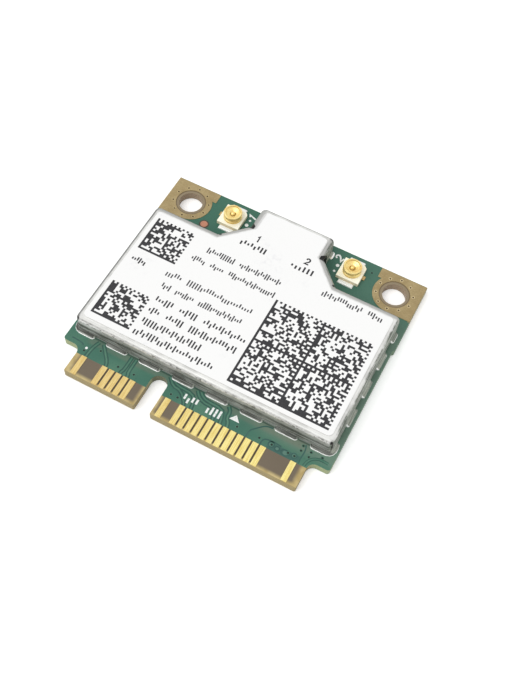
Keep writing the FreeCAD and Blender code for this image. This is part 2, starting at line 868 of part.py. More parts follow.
def make_inner_parts():
    """The chips and passive parts that the shield covers, set out about the radio chip."""
    radio_x, radio_y = -dim.radio_left, -dim.radio_front
    side = dim.radio_width
    chip(radio_x, radio_y, side, side, dim.radio_height, "radio_chip")
    front_end_y = radio_y + side / 2 + dim.front_end_width / 2 + dim.small_length
    front_end_x = dim.front_end_spacing / 2
    for name, x in (("main", -front_end_x), ("aux", front_end_x)):
        wide = dim.front_end_width
        chip(x, front_end_y, wide, wide, dim.front_end_height, f"{name}_front_end_chip")
    left_column = radio_x - side / 2 - dim.crystal_length / 2 - dim.small_length
    memory_size = (dim.memory_width, dim.memory_length, dim.memory_height)
    chip(left_column, radio_y - side / 4, *memory_size, "memory_chip")
    make_crystal(left_column, radio_y + side / 4)

    right_column = radio_x + side / 2 + dim.small_pitch * 2 + dim.regulator_width / 2
    regulator_y = radio_y - side / 4
    wide = dim.regulator_width
    chip(right_column, regulator_y, wide, wide, dim.regulator_height, "regulator_chip")
    coil_y = regulator_y + dim.regulator_width / 2 + dim.inductor_width / 2 + dim.small_width
    far_column = right_column + dim.inductor_length + dim.small_width
    coil_size = (dim.inductor_length, dim.inductor_width, dim.inductor_height)
    node(group([two_ended(x, coil_y, *coil_size) for x in (right_column, far_column)]), "power_inductors")
    bulk_y = coil_y + dim.inductor_width / 2 + dim.bulk_width / 2 + dim.small_width
    bulk_size = (dim.bulk_length, dim.bulk_width, dim.bulk_height)
    node(group([two_ended(x, bulk_y, *bulk_size) for x in (right_column, far_column)]), "bulk_capacitors")

    filter_y = front_end_y + dim.front_end_width / 2 + dim.filter_width / 2 + dim.small_width
    filter_size = (dim.filter_length, dim.filter_width, dim.filter_height)
    filter_x = dim.filter_length / 2 + dim.small_width / 2
    node(group([two_ended(x, filter_y, *filter_size) for x in (-filter_x, filter_x)]), "band_filters")

    small_row_y = radio_y - side / 2 - dim.small_length
    small_column_x = radio_x + side / 2 + dim.small_pitch
    per_line = 5
    capacitors = []
    resistors = []
    for index in range(per_line):
        along = dim.small_pitch * (index - (per_line - 1) / 2)
        size = (dim.small_length, dim.small_width, dim.capacitor_height)
        capacitors.append(two_ended(radio_x + along, small_row_y, *size))
        capacitors.append(two_ended(small_column_x, radio_y + along, *size))
        size = (dim.small_length, dim.small_width, dim.resistor_height)
        resistors.append(two_ended(right_column + along, small_row_y, *size))
    node(group(capacitors), "decoupling_capacitors")
    node(group(resistors), "chip_resistors")


def main():
    make_board()
    make_fingers(TOP_CONTACTS, board_top, -dim.finger_stagger / 2, "top_contact_fingers")
    make_fingers(BOTTOM_CONTACTS, ZERO, dim.finger_stagger / 2, "bottom_contact_fingers")
    for side, name in ((-1, "left"), (1, "right")):
        make_ground_pad(side, board_top, f"{name}_top_ground_pad")
        make_ground_pad(side, ZERO, f"{name}_bottom_ground_pad")
    make_fiducial()
    make_frame()
    make_solder()
    make_lid()
    make_label()
    make_antenna(-1, "main")
    make_antenna(1, "aux")
    make_inner_parts()
    doc.recompute()

    for item in doc.Objects:
        if "Invalid" in item.State or "Error" in item.State:
            raise RuntimeError(f"{item.Name} failed: {item.State}")
    os.makedirs("parts", exist_ok=True)
    for item in nodes:
        if item.Shape.isNull() or not item.Shape.isValid():
            raise RuntimeError(f"{item.Label} has no valid shape")
        item.Shape.exportStep(f"parts/{item.Label}.step")
        bounds = item.Shape.BoundBox
        print(f"{item.Label}: {len(item.Shape.Solids)} solids, {item.Shape.Volume:.3f} cubic mm, "
              f"x {bounds.XMin:.2f} to {bounds.XMax:.2f}, y {bounds.YMin:.2f} to {bounds.YMax:.2f}, "
              f"z {bounds.ZMin:.2f} to {bounds.ZMax:.2f}")


main()
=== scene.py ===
# %% [markdown]
# # Dressing a laptop wifi card
#
# The card is a small radio on a green circuit board: a folded metal shield with a white label, a row of
# gold contacts at the front, and two gold antenna ports and two screw holes at the back. Its solids come
# from CAD and stay as they are. This lesson gives each of them a finish made of shader nodes, and adds the
# fine things that are too thin for CAD: print, tracks, vias and smooth solder.

# %% Load the frame
import math
import random

import bmesh
import bpy
from mathutils import Matrix, Vector


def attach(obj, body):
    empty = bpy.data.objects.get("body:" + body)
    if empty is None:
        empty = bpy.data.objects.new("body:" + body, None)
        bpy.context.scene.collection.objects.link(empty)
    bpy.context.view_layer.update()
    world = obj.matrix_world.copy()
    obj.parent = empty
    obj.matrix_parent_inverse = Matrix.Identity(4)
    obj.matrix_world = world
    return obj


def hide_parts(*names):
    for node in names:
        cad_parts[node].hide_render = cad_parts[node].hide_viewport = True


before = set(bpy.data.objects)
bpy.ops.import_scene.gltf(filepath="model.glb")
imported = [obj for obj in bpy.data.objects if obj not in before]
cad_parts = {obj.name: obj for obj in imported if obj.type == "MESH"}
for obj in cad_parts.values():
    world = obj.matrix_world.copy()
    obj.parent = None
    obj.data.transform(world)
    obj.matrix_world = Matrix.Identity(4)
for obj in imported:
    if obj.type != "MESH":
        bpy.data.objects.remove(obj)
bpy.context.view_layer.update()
MM = 0.001
print("nodes:", len(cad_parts))

# %% [markdown]
# ## The camera
#
# A camera could be pointed by hand until the picture looks right. Here its place was worked out beforehand
# from the contacts, whose pitch is known, so its numbers are simply written down: where it looks, from
# which side, how far away, and how long its lens is. It comes first, so that all later renders can be
# compared.

# %% Camera
LOOK_AT = Vector((2.549, -1.417, 1.0)) * MM
AZIMUTH = math.radians(23.097)
ELEVATION = math.radians(60.153)
ROLL = math.radians(5.355)
DISTANCE = 92.996 * MM
FOCAL_PIXELS = 923.364
LONG_SIDE_PIXELS = 688
SENSOR = 36.0

back = Vector((
    math.sin(AZIMUTH) * math.cos(ELEVATION),
    -math.cos(AZIMUTH) * math.cos(ELEVATION),
    math.sin(ELEVATION),
))
level = Vector((math.cos(AZIMUTH), math.sin(AZIMUTH), 0.0))
upright = back.cross(level)
right = level * math.cos(ROLL) + upright * math.sin(ROLL)
up = upright * math.cos(ROLL) - level * math.sin(ROLL)

lens = bpy.data.cameras.new("camera")
lens.sensor_width = SENSOR
lens.lens = FOCAL_PIXELS / LONG_SIDE_PIXELS * SENSOR
lens.clip_start = MM
camera = bpy.data.objects.new("camera", lens)
bpy.context.scene.collection.objects.link(camera)
stance = Matrix((right, up, back)).transposed().to_4x4()
camera.matrix_world = Matrix.Translation(LOOK_AT + back * DISTANCE) @ stance
bpy.context.scene.camera = camera
print("lens in mm:", round(lens.lens, 2))

# %% [markdown]
# ## Writing shaders as sums
#
# Node graphs are quick to click together and slow to read. A socket wrapped in a small class lets ordinary
# Python operators add the Math nodes, so a mask reads as a sum. Everything else, such as noise or a colour
# mix, comes from one method that takes the node's type, its settings and its inputs.


# %% Sockets with arithmetic
class Wire:
    """One output of a shader node, which Python's operators work on."""

    def __init__(self, finish, socket):
        self.finish = finish
        self.socket = socket

    def __add__(self, other):
        return self.finish.math("ADD", self, other)

    def __radd__(self, other):
        return self.finish.math("ADD", other, self)

    def __sub__(self, other):
        return self.finish.math("SUBTRACT", self, other)

    def __rsub__(self, other):
        return self.finish.math("SUBTRACT", other, self)

    def __mul__(self, other):
        return self.finish.math("MULTIPLY", self, other)

    def __rmul__(self, other):
        return self.finish.math("MULTIPLY", other, self)

    def __truediv__(self, other):
        return self.finish.math("DIVIDE", self, other)

    def __rtruediv__(self, other):
        return self.finish.math("DIVIDE", other, self)

    def __abs__(self):
        return self.finish.math("ABSOLUTE", self)

    def step(self, low, high):
        """0 below low, 1 above high, and a smooth rise between them."""
        inputs = {"Value": self, "From Min": low, "From Max": high}
        return self.finish.node("ShaderNodeMapRange", {"interpolation_type": "SMOOTHSTEP"}, inputs)

    def within(self, low, high, soft):
        """1 between two limits, with soft edges, and 0 outside them."""
        return self.step(low - soft, low + soft) * (1 - self.step(high - soft, high + soft))


# %% [markdown]
# A finish is one material round one Principled shader. It knows where a point lies in millimetres, so
# borders can be given as they are measured on the card. Colours are given as they are seen on screen, from
# 0 to 255.


# %% Finishes
def paint(red, green, blue):
    """A colour as it is seen on screen, turned into the linear light that shaders use."""
    linear = []
    for part in (red, green, blue):
        share = part / 255
        linear.append(share / 12.92 if share <= 0.04045 else ((share + 0.055) / 1.055) ** 2.4)
    return (*linear, 1.0)


class Finish:
    """A material that is built as one node graph around one Principled shader."""

    def __init__(self, name, **constants):
        self.material = bpy.data.materials.new(name)
        self.material.use_nodes = True
        self.tree = self.material.node_tree
        self.tree.nodes.clear()
        self.shader = self.tree.nodes.new("ShaderNodeBsdfPrincipled")
        output = self.tree.nodes.new("ShaderNodeOutputMaterial")
        self.tree.links.new(self.shader.outputs["BSDF"], output.inputs["Surface"])
        coordinates = self.node("ShaderNodeTexCoord", out="Object")
        self.place = self.vector("SCALE", {0: coordinates, "Scale": 1 / MM})
        self.x, self.y, self.z = self.split(self.place)
        self.set(**constants)

    def node(self, kind, settings=None, inputs=None, out=0):
        """Any node: its type, its settings, what goes into its sockets, and the output that is wanted."""
        item = self.tree.nodes.new(kind)
        for name, value in (settings or {}).items():
            setattr(item, name, value)
        for name, value in (inputs or {}).items():
            self.feed(item.inputs[name], value)
        return Wire(self, item.outputs[out])

    def feed(self, socket, value):
        """Links a wire to a socket, or sets the socket's own value."""
        if isinstance(value, Wire):
            self.tree.links.new(value.socket, socket)
        else:
            socket.default_value = value

    def set(self, **values):
        """Sets or links sockets of the shader."""
        for name, value in values.items():
            self.feed(self.shader.inputs[name.replace("_", " ")], value)

    def math(self, operation, first, second=0.0):
        return self.node("ShaderNodeMath", {"operation": operation}, {0: first, 1: second})

    def vector(self, operation, inputs, out=0):
        return self.node("ShaderNodeVectorMath", {"operation": operation}, inputs, out)

    def split(self, vector):
        """The three numbers of a vector."""
        parts = self.node("ShaderNodeSeparateXYZ", {}, {"Vector": vector}).socket.node.outputs
        return [Wire(self, part) for part in parts]

    def facing(self):
        """How far the surface faces right, back and up, from -1 to 1."""
        return self.split(self.node("ShaderNodeNewGeometry", out="Normal"))

    def spot(self, x, y, solid, end):
        """1 round an upright axis as far as solid, then a smooth fall to 0 at end."""
        flat = self.node("ShaderNodeCombineXYZ", {}, {"X": self.x, "Y": self.y})
        return 1 - self.vector("DISTANCE", {0: flat, 1: (x, y, 0)}, "Value").step(solid, end)

    def noise(self, scale, stretch=(1, 1, 1), detail=3.0, roughness=0.55, shift=0.0):
        """Soft noise: scale is how many lumps there are in a mm, stretch squeezes it along an axis."""
        stretched = self.vector("MULTIPLY", {0: self.place, 1: stretch})
        moved = self.vector("ADD", {0: stretched, 1: (shift, shift, shift)})
        inputs = {"Vector": moved, "Scale": scale, "Detail": detail, "Roughness": roughness}
        return self.node("ShaderNodeTexNoise", {}, inputs, "Fac")

    def mix(self, first, second, factor):
        """A colour between two colours, each of them a wire or a colour as it is seen on screen."""
        first, second = (one if isinstance(one, Wire) else paint(*one) for one in (first, second))
        return self.node("ShaderNodeMix", {"data_type": "RGBA"}, {0: factor, 6: first, 7: second}, 2)

    def bump(self, height, depth_mm, strength):
        """A small relief, whose full height is given in mm."""
        inputs = {"Height": height, "Distance": depth_mm * MM, "Strength": strength}
        self.set(Normal=self.node("ShaderNodeBump", {}, inputs, "Normal"))


def dress(finish, *names):
    """Gives CAD nodes a finish, in place of the plain one that they come with."""
    for name in names:
        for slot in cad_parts[name].material_slots:
            slot.material = finish.material
        print(name, "wears", finish.material.name)


print("middle grey in linear light:", round(paint(128, 128, 128)[0], 3))

# %% [markdown]
# ## The circuit board
#
# The real board is glass cloth in resin, with copper on it and a green film over that. One material can do
# all of it, because every border is a straight line or a circle that can be written in millimetres.
#
# The film comes first. It is milky towards the right and darker at the back. Along the shield's front wall
# lie a painted shadow at its foot, a tinned strip and grey remains of flux. By the last contacts the copper
# is etched away in a channel with four small islands, and plating shows at the outer rim of the pads.

# %% Board: green film
FIDUCIAL_X, FIDUCIAL_Y = -9.55, 8.99
SHIELD_RIGHT, SHIELD_FRONT = 14.22, -8.7
PAD_FRONT = 8.3

# Each island: its middle, half its width and half its depth.
ISLANDS = (
    (8.76, -10.5, 0.3, 0.28),
    (9.44, -10.63, 0.24, 0.22),
    (10.3, -10.64, 0.44, 0.28),
    (11.18, -10.5, 0.26, 0.26),
)

board = Finish("green_film_on_laminate")
upper = board.z.step(0.4, 0.6)
patches = board.noise(0.16, detail=2.0)
speckle = board.noise(5.0, detail=2.0, shift=7.0)
film = board.mix((54, 107, 89), (74, 121, 99), patches.step(0.38, 0.62))
milky = (board.x + patches * 6).step(5.0, 15.0) * board.y.step(-10.4, -9.3)
film = board.mix(film, (108, 133, 116), milky * 0.75)
film = board.mix(film, (34, 92, 74), board.y.step(5.0, 9.0) * 0.7)
film = board.mix(film, (32, 80, 66), speckle.step(0.58, 0.8) * 0.35)
residue = board.y.within(-9.55, SHIELD_FRONT, 0.2) * board.x.within(-12.4, 12.0, 0.5)
film = board.mix(film, (130, 122, 108), residue * upper * patches * 0.6)
channel = board.x.within(8.45, 11.75, 0.1) * board.y.within(-11.1, -10.3, 0.07) * upper
film = board.mix(film, (50, 90, 84), channel * 0.75)
for x, y, _, half_tall in ISLANDS:
    island = board.spot(x, y, half_tall - 0.08, half_tall)
    film = board.mix(film, (90, 128, 114), island * channel * 0.8)
under_wall = board.x.within(-SHIELD_RIGHT, SHIELD_RIGHT, 0.1) * upper
# Painted shadow: a dark strip on the board where the shield's front wall stands on it.
foot_shadow = board.y.within(SHIELD_FRONT - 0.18, SHIELD_FRONT - 0.04, 0.05)
film = board.mix(film, (24, 46, 40), foot_shadow * under_wall * 0.6)
tinned = board.y.within(SHIELD_FRONT + 0.02, SHIELD_FRONT + 0.6, 0.02)
film = board.mix(film, (160, 164, 158), tinned * under_wall)
film = board.mix(film, (66, 62, 46), board.spot(FIDUCIAL_X, FIDUCIAL_Y, 0.50, 0.62) * upper)
pad_border = abs(board.x).step(14.7, 14.8) * board.y.step(PAD_FRONT, PAD_FRONT + 0.3)
film = board.mix(film, (164, 148, 108), pad_border)
print("green film with", len(ISLANDS), "islands in its channel")

# %% [markdown]
# The film stops short of the contacts, so the tongue shows bare resin: brown where a copper layer lies
# inside, nearly black between the contacts, which is partly painted shade, and honey-coloured round the
# rim, where there is no copper.
# Round each screw hole a ring of resin is bare too, with a dark line where the pad's plating ends.

# %% Board: bare resin
HOLE_X, HOLE_Y = 12.25, 10.87
BARE_RING = 1.70
FILM_END = -11.06
INNER_LAYERS = ((-12.25, -5.0), (-2.75, 12.25))
INNER_FRONT = -13.0
FINGER_GROUPS = ((-9.5, -6.1), (-0.7, 8.3))

bare = board.mix((176, 154, 98), (206, 186, 132), board.noise(0.9, detail=2.0).step(0.35, 0.7))
plane = 0.0
for low, high in INNER_LAYERS:
    plane = plane + board.x.within(low, high, 0.26)
plane = plane * board.y.step(INNER_FRONT - 0.26, INNER_FRONT + 0.2)
bare = board.mix(bare, board.mix((100, 89, 72), (119, 106, 89), patches), plane)
# Between the contacts the resin is painted nearly black, partly as shade.
for low, high in FINGER_GROUPS:
    between = board.x.within(low, high, 0.05) * board.y.step(INNER_FRONT - 0.2, INNER_FRONT)
    bare = board.mix(bare, (74, 62, 46), between)

tongue = 1 - board.y.step(FILM_END - 0.03, FILM_END + 0.03)
surface = board.mix(film, bare, tongue)
for side in (-1, 1):
    plating_end = board.spot(HOLE_X * side, HOLE_Y, BARE_RING - 0.02, BARE_RING + 0.02)
    surface = board.mix(surface, (112, 95, 68), plating_end)
    bare_ring = board.spot(HOLE_X * side, HOLE_Y, BARE_RING - 0.2, BARE_RING - 0.1)
    surface = board.mix(surface, (140, 125, 99), bare_ring)
print("bare resin in front of y =", FILM_END, "and within", BARE_RING, "mm of the holes' middles")

# %% [markdown]
# The cut edges show the layers of glass cloth from the side. They are green beside the shield, pale by the
# pads, and painted dark as shade at the end of the key slot. Height alone tells an edge from the two faces.
# The relief is the weave of the cloth, from two noises that are squeezed across each other, and a little
# grain.

# %% Board: cut edges
KEY_LEFT, KEY_RIGHT, KEY_END = -4.75, -3.0, -10.7
EDGE_LOW, EDGE_HIGH = 0.055, 0.945

edge = board.mix((142, 125, 82), (168, 153, 110), board.noise(1.2, (0.5, 0.5, 9.0), 2.0))
edge = board.mix(edge, (158, 178, 132), board.y.step(FILM_END, FILM_END + 0.8) * 0.7)
to_side, to_back, _ = board.facing()
beside = (abs(to_side) - to_back).step(0.5, 0.8) * board.y.step(-9.5, -8.5)
edge = board.mix(edge, (96, 130, 106), beside * 0.8)
by_pad = abs(board.x).step(9.3, 9.6) * board.y.step(PAD_FRONT, PAD_FRONT + 0.4)
edge = board.mix(edge, (180, 168, 134), by_pad * 0.8)
in_slot = board.x.within(KEY_LEFT, KEY_RIGHT, 0.05)
# Painted shade: the end wall of the key slot is dark, as the inside of the slot is.
key_end_shade = in_slot * board.y.within(KEY_END, KEY_END + 2.0, 0.4)
edge = board.mix(edge, (96, 94, 74), key_end_shade * 0.8)
for side in (-1, 1):
    edge = board.mix(edge, (160, 140, 115), board.spot(HOLE_X * side, HOLE_Y, 1.32, 1.36))
on_face = 1 - board.z.within(EDGE_LOW, EDGE_HIGH, 0.004)
cloth = board.noise(2.4, (1, 6, 1), 1.0) + board.noise(2.4, (6, 1, 1), 1.0, shift=3.0)
board.set(Base_Color=board.mix(edge, surface, on_face), Roughness=0.38 + speckle * 0.16 + tongue * 0.12)
board.bump(cloth * 0.3 + speckle * 0.2, 0.012, 0.5)
dress(board, "circuit_board")

# %% [markdown]
# ## Gold contacts and bare copper
#
# The contacts are copper plated with nickel and hard gold. A socket's springs leave fine wipe marks along
# them, so the noise is stretched along the fingers. The pads round the screw holes carry a thinner plating
# that has dulled to the colour of sand, and the small round mark near the left port is plain copper.

# %% Contact, pad and mark finishes
gold = Finish("hard_gold_contact", Metallic=0.75)
wipes = gold.noise(1.4, (9, 0.5, 1), 3.0)
grains = gold.noise(9.0, detail=2.0, shift=2.0)
wear = (wipes * 0.7 + grains * 0.3).step(0.35, 0.62)
to_right = gold.x.step(-10.0, 9.0)
dark_gold = gold.mix((212, 178, 106), (232, 208, 120), to_right)
light_gold = gold.mix((230, 206, 140), (250, 236, 158), to_right)
gold.set(Base_Color=gold.mix(dark_gold, light_gold, wear), Roughness=0.3 + wipes * 0.14)
gold.bump(wipes * 0.6 + grains * 0.4, 0.01, 0.4)
dress(gold, "top_contact_fingers", "bottom_contact_fingers")

sand = Finish("dull_plated_pad", Metallic=0.3)
dulling = sand.noise(0.7, detail=4.0)
rubbing = sand.noise(7.0, detail=2.0, shift=5.0)
patina = (dulling * 0.6 + rubbing * 0.4).step(0.36, 0.64)
sand.set(Base_Color=sand.mix((156, 136, 94), (176, 157, 114), patina), Roughness=0.5 + dulling * 0.15)
sand.bump(rubbing, 0.008, 0.5)
dress(sand, *(f"{side}_{face}_ground_pad" for face in ("top", "bottom") for side in ("left", "right")))

copper = Finish("bare_copper_mark", Metallic=0.3)
tarnish = copper.noise(3.0, detail=3.0)
copper.set(Base_Color=copper.mix((184, 122, 96), (206, 146, 120), tarnish), Roughness=0.5 + tarnish * 0.15)
copper.bump(tarnish, 0.006, 0.4)
dress(copper, "fiducial_dot")

# %% [markdown]
# ## The folded shield
#
# The lid is tinned steel, bent over a soldered frame. Its top and its bends are bright, and its walls are
# painted dull and dark, as the shade and dark reflections that fall on them, with marks of the bending tool
# that run along the wall. Stretching the noise strongly in Z gives streaks that run along every wall,
# whichever way that wall faces.

# %% Lid: streaks and grime
SHIELD_BACK, SHIELD_VALLEY = 7.27, 6.88
TAB_RIGHT, TAB_BACK = 4.3, 12.72

metal = Finish("tinned_sheet", Metallic=0.5)
streaks = metal.noise(1.1, (0.35, 0.35, 11.0), 4.0, 0.62)
fine = metal.noise(2.2, (0.5, 0.5, 26.0), 2.0, shift=4.0)
blotches = metal.noise(0.55, detail=4.0, shift=9.0)
grit = metal.noise(2.4, (0.7, 0.7, 1.6), 4.0, 0.72, 12.0)
jagged = metal.noise(3.0, (0.5, 0.5, 5.0), 4.0, 0.8, 31.0)
rubbed = (streaks * 0.7 + blotches * 0.3).step(0.41, 0.59)
height = metal.z + (streaks - 0.5) * 0.3 + (blotches - 0.5) * 0.3 + (grit - 0.5) * 0.5
print("shield from y =", SHIELD_FRONT, "to", SHIELD_BACK, "with a tab to", TAB_BACK)

# %% [markdown]
# The bright sheet is painted grey where it bends, as shade: a little along the front, more along the back
# edges and the tab's sides, and most where it turns to the left. Two broken score lines run along the front
# bend. A mask could be painted by hand, but the way the surface faces tells where the shade of a bend falls
# just as well.


# %% Lid: bright top and painted shade on the bends
def back_depth(finish):
    """How far in mm a point lies inside the shield's back edges, its slanted corners and its tab's sides."""
    spread = abs(finish.x)
    slanted = (SHIELD_VALLEY + SHIELD_BACK - spread - finish.y) / math.sqrt(2)
    depth = finish.math("MAXIMUM", SHIELD_BACK - finish.y, slanted)
    return finish.math("MAXIMUM", depth, TAB_RIGHT - spread)


# Each score line: its lower and upper height, and how dark it is.
SCORE_LINES = ((3.04, 3.13, 0.7), (2.74, 2.82, 0.45))

facing_x, facing_y, _ = metal.facing()
bright = metal.mix((206, 206, 203), (230, 230, 227), blotches.step(0.35, 0.58))
for index, (low, high, depth) in enumerate(SCORE_LINES):
    breaks = metal.noise(1.5, (1, 1, 0.1), 3.0, 0.6, 20.0 + index).step(0.5, 0.58)
    score = (metal.z + (streaks - 0.5) * 0.16).within(low, high, 0.03) * breaks
    bright = metal.mix(bright, (88, 87, 82), score * depth)
# Painted shade: bends that face the front, the left and the back are greyed by the way they face.
to_front = facing_y * -1
bend = to_front.step(0.04, 0.3) * (1 - to_front.step(0.72, 0.95))
bend_shade_grey = metal.mix((164, 164, 161), (192, 192, 189), metal.x.step(-12.0, -2.0))
bright = metal.mix(bright, bend_shade_grey, bend * 0.75)
# Painted shade along the back edges, the slanted corners and the tab's sides.
bright = metal.mix(bright, (182, 182, 179), 1 - back_depth(metal).step(0.4, 0.75))
left_shade_grey = metal.mix((112, 112, 110), (168, 169, 166), metal.x.step(-9.0, -8.0))
bright = metal.mix(bright, left_shade_grey, (facing_x * -1).step(0.05, 0.6) * (0.5 + streaks))
bright = metal.mix(bright, (168, 169, 166), facing_y.step(0.1, 0.7) * (0.5 + streaks))
print("score lines:", len(SCORE_LINES))

# %% [markdown]
# The walls are painted with the shade and reflections that fall on them, so the front wall and the side walls
# are two differently shaded copies of one sheet. The front wall is streaked and painted dark, painted lighter
# in a band below the bend, with a painted shadow line along it under the skirt's rim, and specks and black
# flecks of grime in the bend above it. The side walls are greener, painted pale at the foot, and brown in
# their deepest streaks. One shader can hold both kinds of wall, because the way a wall faces tells which of
# them it is.

# %% Lid: walls
# Heights of the painted shadow line under the skirt's rim.
SKIRT_SHADOW_LOW, SKIRT_SHADOW_HIGH = 1.98, 2.26
LEFT_END = -11.2

# Painted shade and dark reflections: the front wall is far darker than the top.
front = metal.mix((92, 92, 86), (202, 202, 198), rubbed)
# Painted light: a lighter band on the front wall just below the bend.
front = metal.mix(front, (196, 195, 191), height.step(2.24, 2.44) * 0.8)
# Painted shadow: a dark line under the skirt's rim.
front = metal.mix(front, (96, 96, 90), metal.z.within(SKIRT_SHADOW_LOW, SKIRT_SHADOW_HIGH, 0.06) * 0.6)
front = metal.mix(front, (66, 65, 59), fine.step(0.6, 0.72) * 0.5)
# Painted light: at the left end the bright colour of the bend reaches further down the wall.
lifted = height + (1 - metal.x.step(LEFT_END - 0.8, LEFT_END + 0.8)) * 0.34
front = metal.mix(front, bright, lifted.step(2.6, 3.06))
specks = grit.step(0.53, 0.62) * metal.z.within(2.66, 3.08, 0.1)
front = metal.mix(front, (78, 77, 72), specks * 0.75)
flecks = jagged.step(0.54, 0.59) * (metal.z + (blotches - 0.5) * 0.2).within(2.8, 3.06, 0.05)
front = metal.mix(front, (56, 54, 49), flecks * metal.x.step(-10.0, -4.0) * 0.85)

wall = metal.mix((100, 107, 98), (178, 182, 172), rubbed)
# Painted light: the side walls are pale at their foot.
wall = metal.mix(wall, (198, 200, 190), 1 - metal.z.step(1.5, 1.85))
wall = metal.mix(wall, (86, 74, 58), fine.step(0.58, 0.68) * 0.6)
wall = metal.mix(wall, bright, height.step(3.06, 3.26))
# The way a wall faces picks which of the two painted shades it gets.
sheet = metal.mix(front, wall, facing_x.step(0.15, 0.5))
# The heights printed here are those of the painted shadow line under the skirt's rim.
print("groove from z =", SKIRT_SHADOW_LOW, "to", SKIRT_SHADOW_HIGH)

# %% [markdown]
# Last come the dark places, all of them painted shade: a contact shadow at the foot of the wall, a crease at
# the tab's corner, a pinhole and a fold line where folds meet at the front corners, a relief cut in each
# valley, and a slanted notch on each side of the tab. They could be cut into the sheet, but a dark spot of
# painted shade at a measured place looks the same at this size.

# %% Lid: dark places
CREASE_X, CREASE_Y = 3.95, 12.47
CORNER_X, CORNER_Y = 13.95, -8.58
FOLD_X, FOLD_Y = 14.06, -8.54
VALLEY_X, VALLEY_Y = 6.6, 7.28
NOTCH_FRONT, NOTCH_BACK, NOTCH_SLANT = 9.5, 10.75, 16.8

# Painted contact shadow along the foot of the wall.
sheet = metal.mix(sheet, (34, 34, 32), (1 - metal.z.step(0.98, 1.1)) * 0.6)
# Painted shade in the crease at the tab's corner.
sheet = metal.mix(sheet, (60, 60, 57), metal.spot(CREASE_X, CREASE_Y, 0.08, 0.3) * 0.8)
for side in (-1, 1):
    # Painted shade: a pinhole and a fold line at each front corner, and a relief cut in each valley.
    pinhole_shade = metal.spot(CORNER_X * side, CORNER_Y, 0.1, 0.22) * metal.z.step(2.8, 2.9)
    sheet = metal.mix(sheet, (24, 23, 22), pinhole_shade)
    sheet = metal.mix(sheet, (64, 61, 55), metal.spot(FOLD_X * side, FOLD_Y, 0.03, 0.12) * 0.7)
    sheet = metal.mix(sheet, (40, 42, 38), metal.spot(VALLEY_X * side, VALLEY_Y, 0.1, 0.22))
    # Painted shade: the slanted notch beside the tab is drawn as a dark opening.
    notch_shade = (metal.x * side).within(TAB_RIGHT - 0.45, TAB_RIGHT + 0.25, 0.04)
    notch_shade = notch_shade * metal.y.within(NOTCH_FRONT, NOTCH_BACK, 0.08)
    slant = metal.z + metal.y * 1.33 + (TAB_RIGHT - metal.x * side) * 0.9
    notch_shade = notch_shade * (1 - slant.step(NOTCH_SLANT, NOTCH_SLANT + 0.15))
    sheet = metal.mix(sheet, (22, 24, 22), notch_shade)
metal.set(Base_Color=sheet, Roughness=0.34 + streaks * 0.22)
metal.bump(streaks * 0.6 + fine * 0.4, 0.02, 0.45)
dress(metal, "shield_lid", "shield_frame")

# %% [markdown]
# ## The label
#
# A white film with a satin face. It is almost plain, and plain white is where a render looks most like
# plastic, so it gets the faint grey of handling in wide soft patches and a very slight unevenness of the
# glue below it. Its back rims are painted grey as shade, most of all at the tab's left, where the film turns
# down with the sheet. Its cut edge is grey and draws a thin grey line round it.

# %% Label finish
LABEL_EDGE = 3.285

label = Finish("white_label_film")
handling = label.noise(0.22, detail=3.0)
dust = label.noise(2.6, detail=4.0, shift=6.0)
grey = handling.step(0.56, 0.78) * dust.step(0.42, 0.7)
face = label.mix((249, 249, 248), (232, 232, 234), grey * 0.7)
tab_left = (1 - label.x.step(-3.2, -2.8)) * label.y.step(9.4, 9.8)
# Painted shade along the back rims, wider at the tab's left.
rim = 1 - (back_depth(label) + (dust - 0.5) * 0.2 - tab_left * 0.1).step(0.56, 0.78)
face = label.mix(face, (206, 206, 204), rim * 0.85)
cut_edge = 1 - label.z.step(LABEL_EDGE, LABEL_EDGE + 0.01)
label.set(Base_Color=label.mix(face, (204, 203, 200), cut_edge), Roughness=0.42 + dust * 0.12)
label.bump(handling * 0.7 + dust * 0.3, 0.02, 0.3)
dress(label, "lid_label")

# %% [markdown]
# ## The antenna ports
#
# Each port is a gold-plated ring with a groove, into which a plug clips, standing in a cream moulding that
# can take the heat of soldering. The moulding's sides are painted duller than its top, as shade, and it
# glows faintly, which is painted light. The ring is turned, so its fine marks run round it, and noise that
# is squeezed in height draws them. It is painted darker in front, as a dark reflection, and darker and
# browner in its tail, low down beside the moulding.

# %% Port finishes
TAIL_TOP = 1.3

# Painted light: the moulding glows faintly.
cream = Finish("heat_proof_moulding", Emission_Color=paint(252, 244, 206), Emission_Strength=0.1)
flow = cream.noise(1.1, detail=4.0)
_, _, cream_up = cream.facing()
# Painted shade: the sides are a darker copy of the top's colour.
cream_side_shade = cream.mix((206, 196, 168), (226, 216, 188), flow)
cream_top = cream.mix((252, 246, 220), (255, 253, 238), flow.step(0.35, 0.6))
cream_colour = cream.mix(cream_side_shade, cream_top, cream_up.step(0.2, 0.6))
cream.set(Base_Color=cream_colour, Roughness=0.42 + flow * 0.2)
cream.bump(cream.noise(8.0, detail=2.0), 0.008, 0.4)
dress(cream, "main_antenna_base", "aux_antenna_base")

turned = Finish("turned_gold_ring", Metallic=0.8)
rings = turned.noise(1.6, (0.6, 0.6, 14.0), 2.0)
bloom = turned.noise(1.3, detail=2.0, shift=3.0)
lustre = (rings * 0.45 + bloom * 0.55).step(0.36, 0.62)
_, turned_back, _ = turned.facing()
ring_gold = turned.mix((238, 204, 124), (249, 229, 158), lustre)
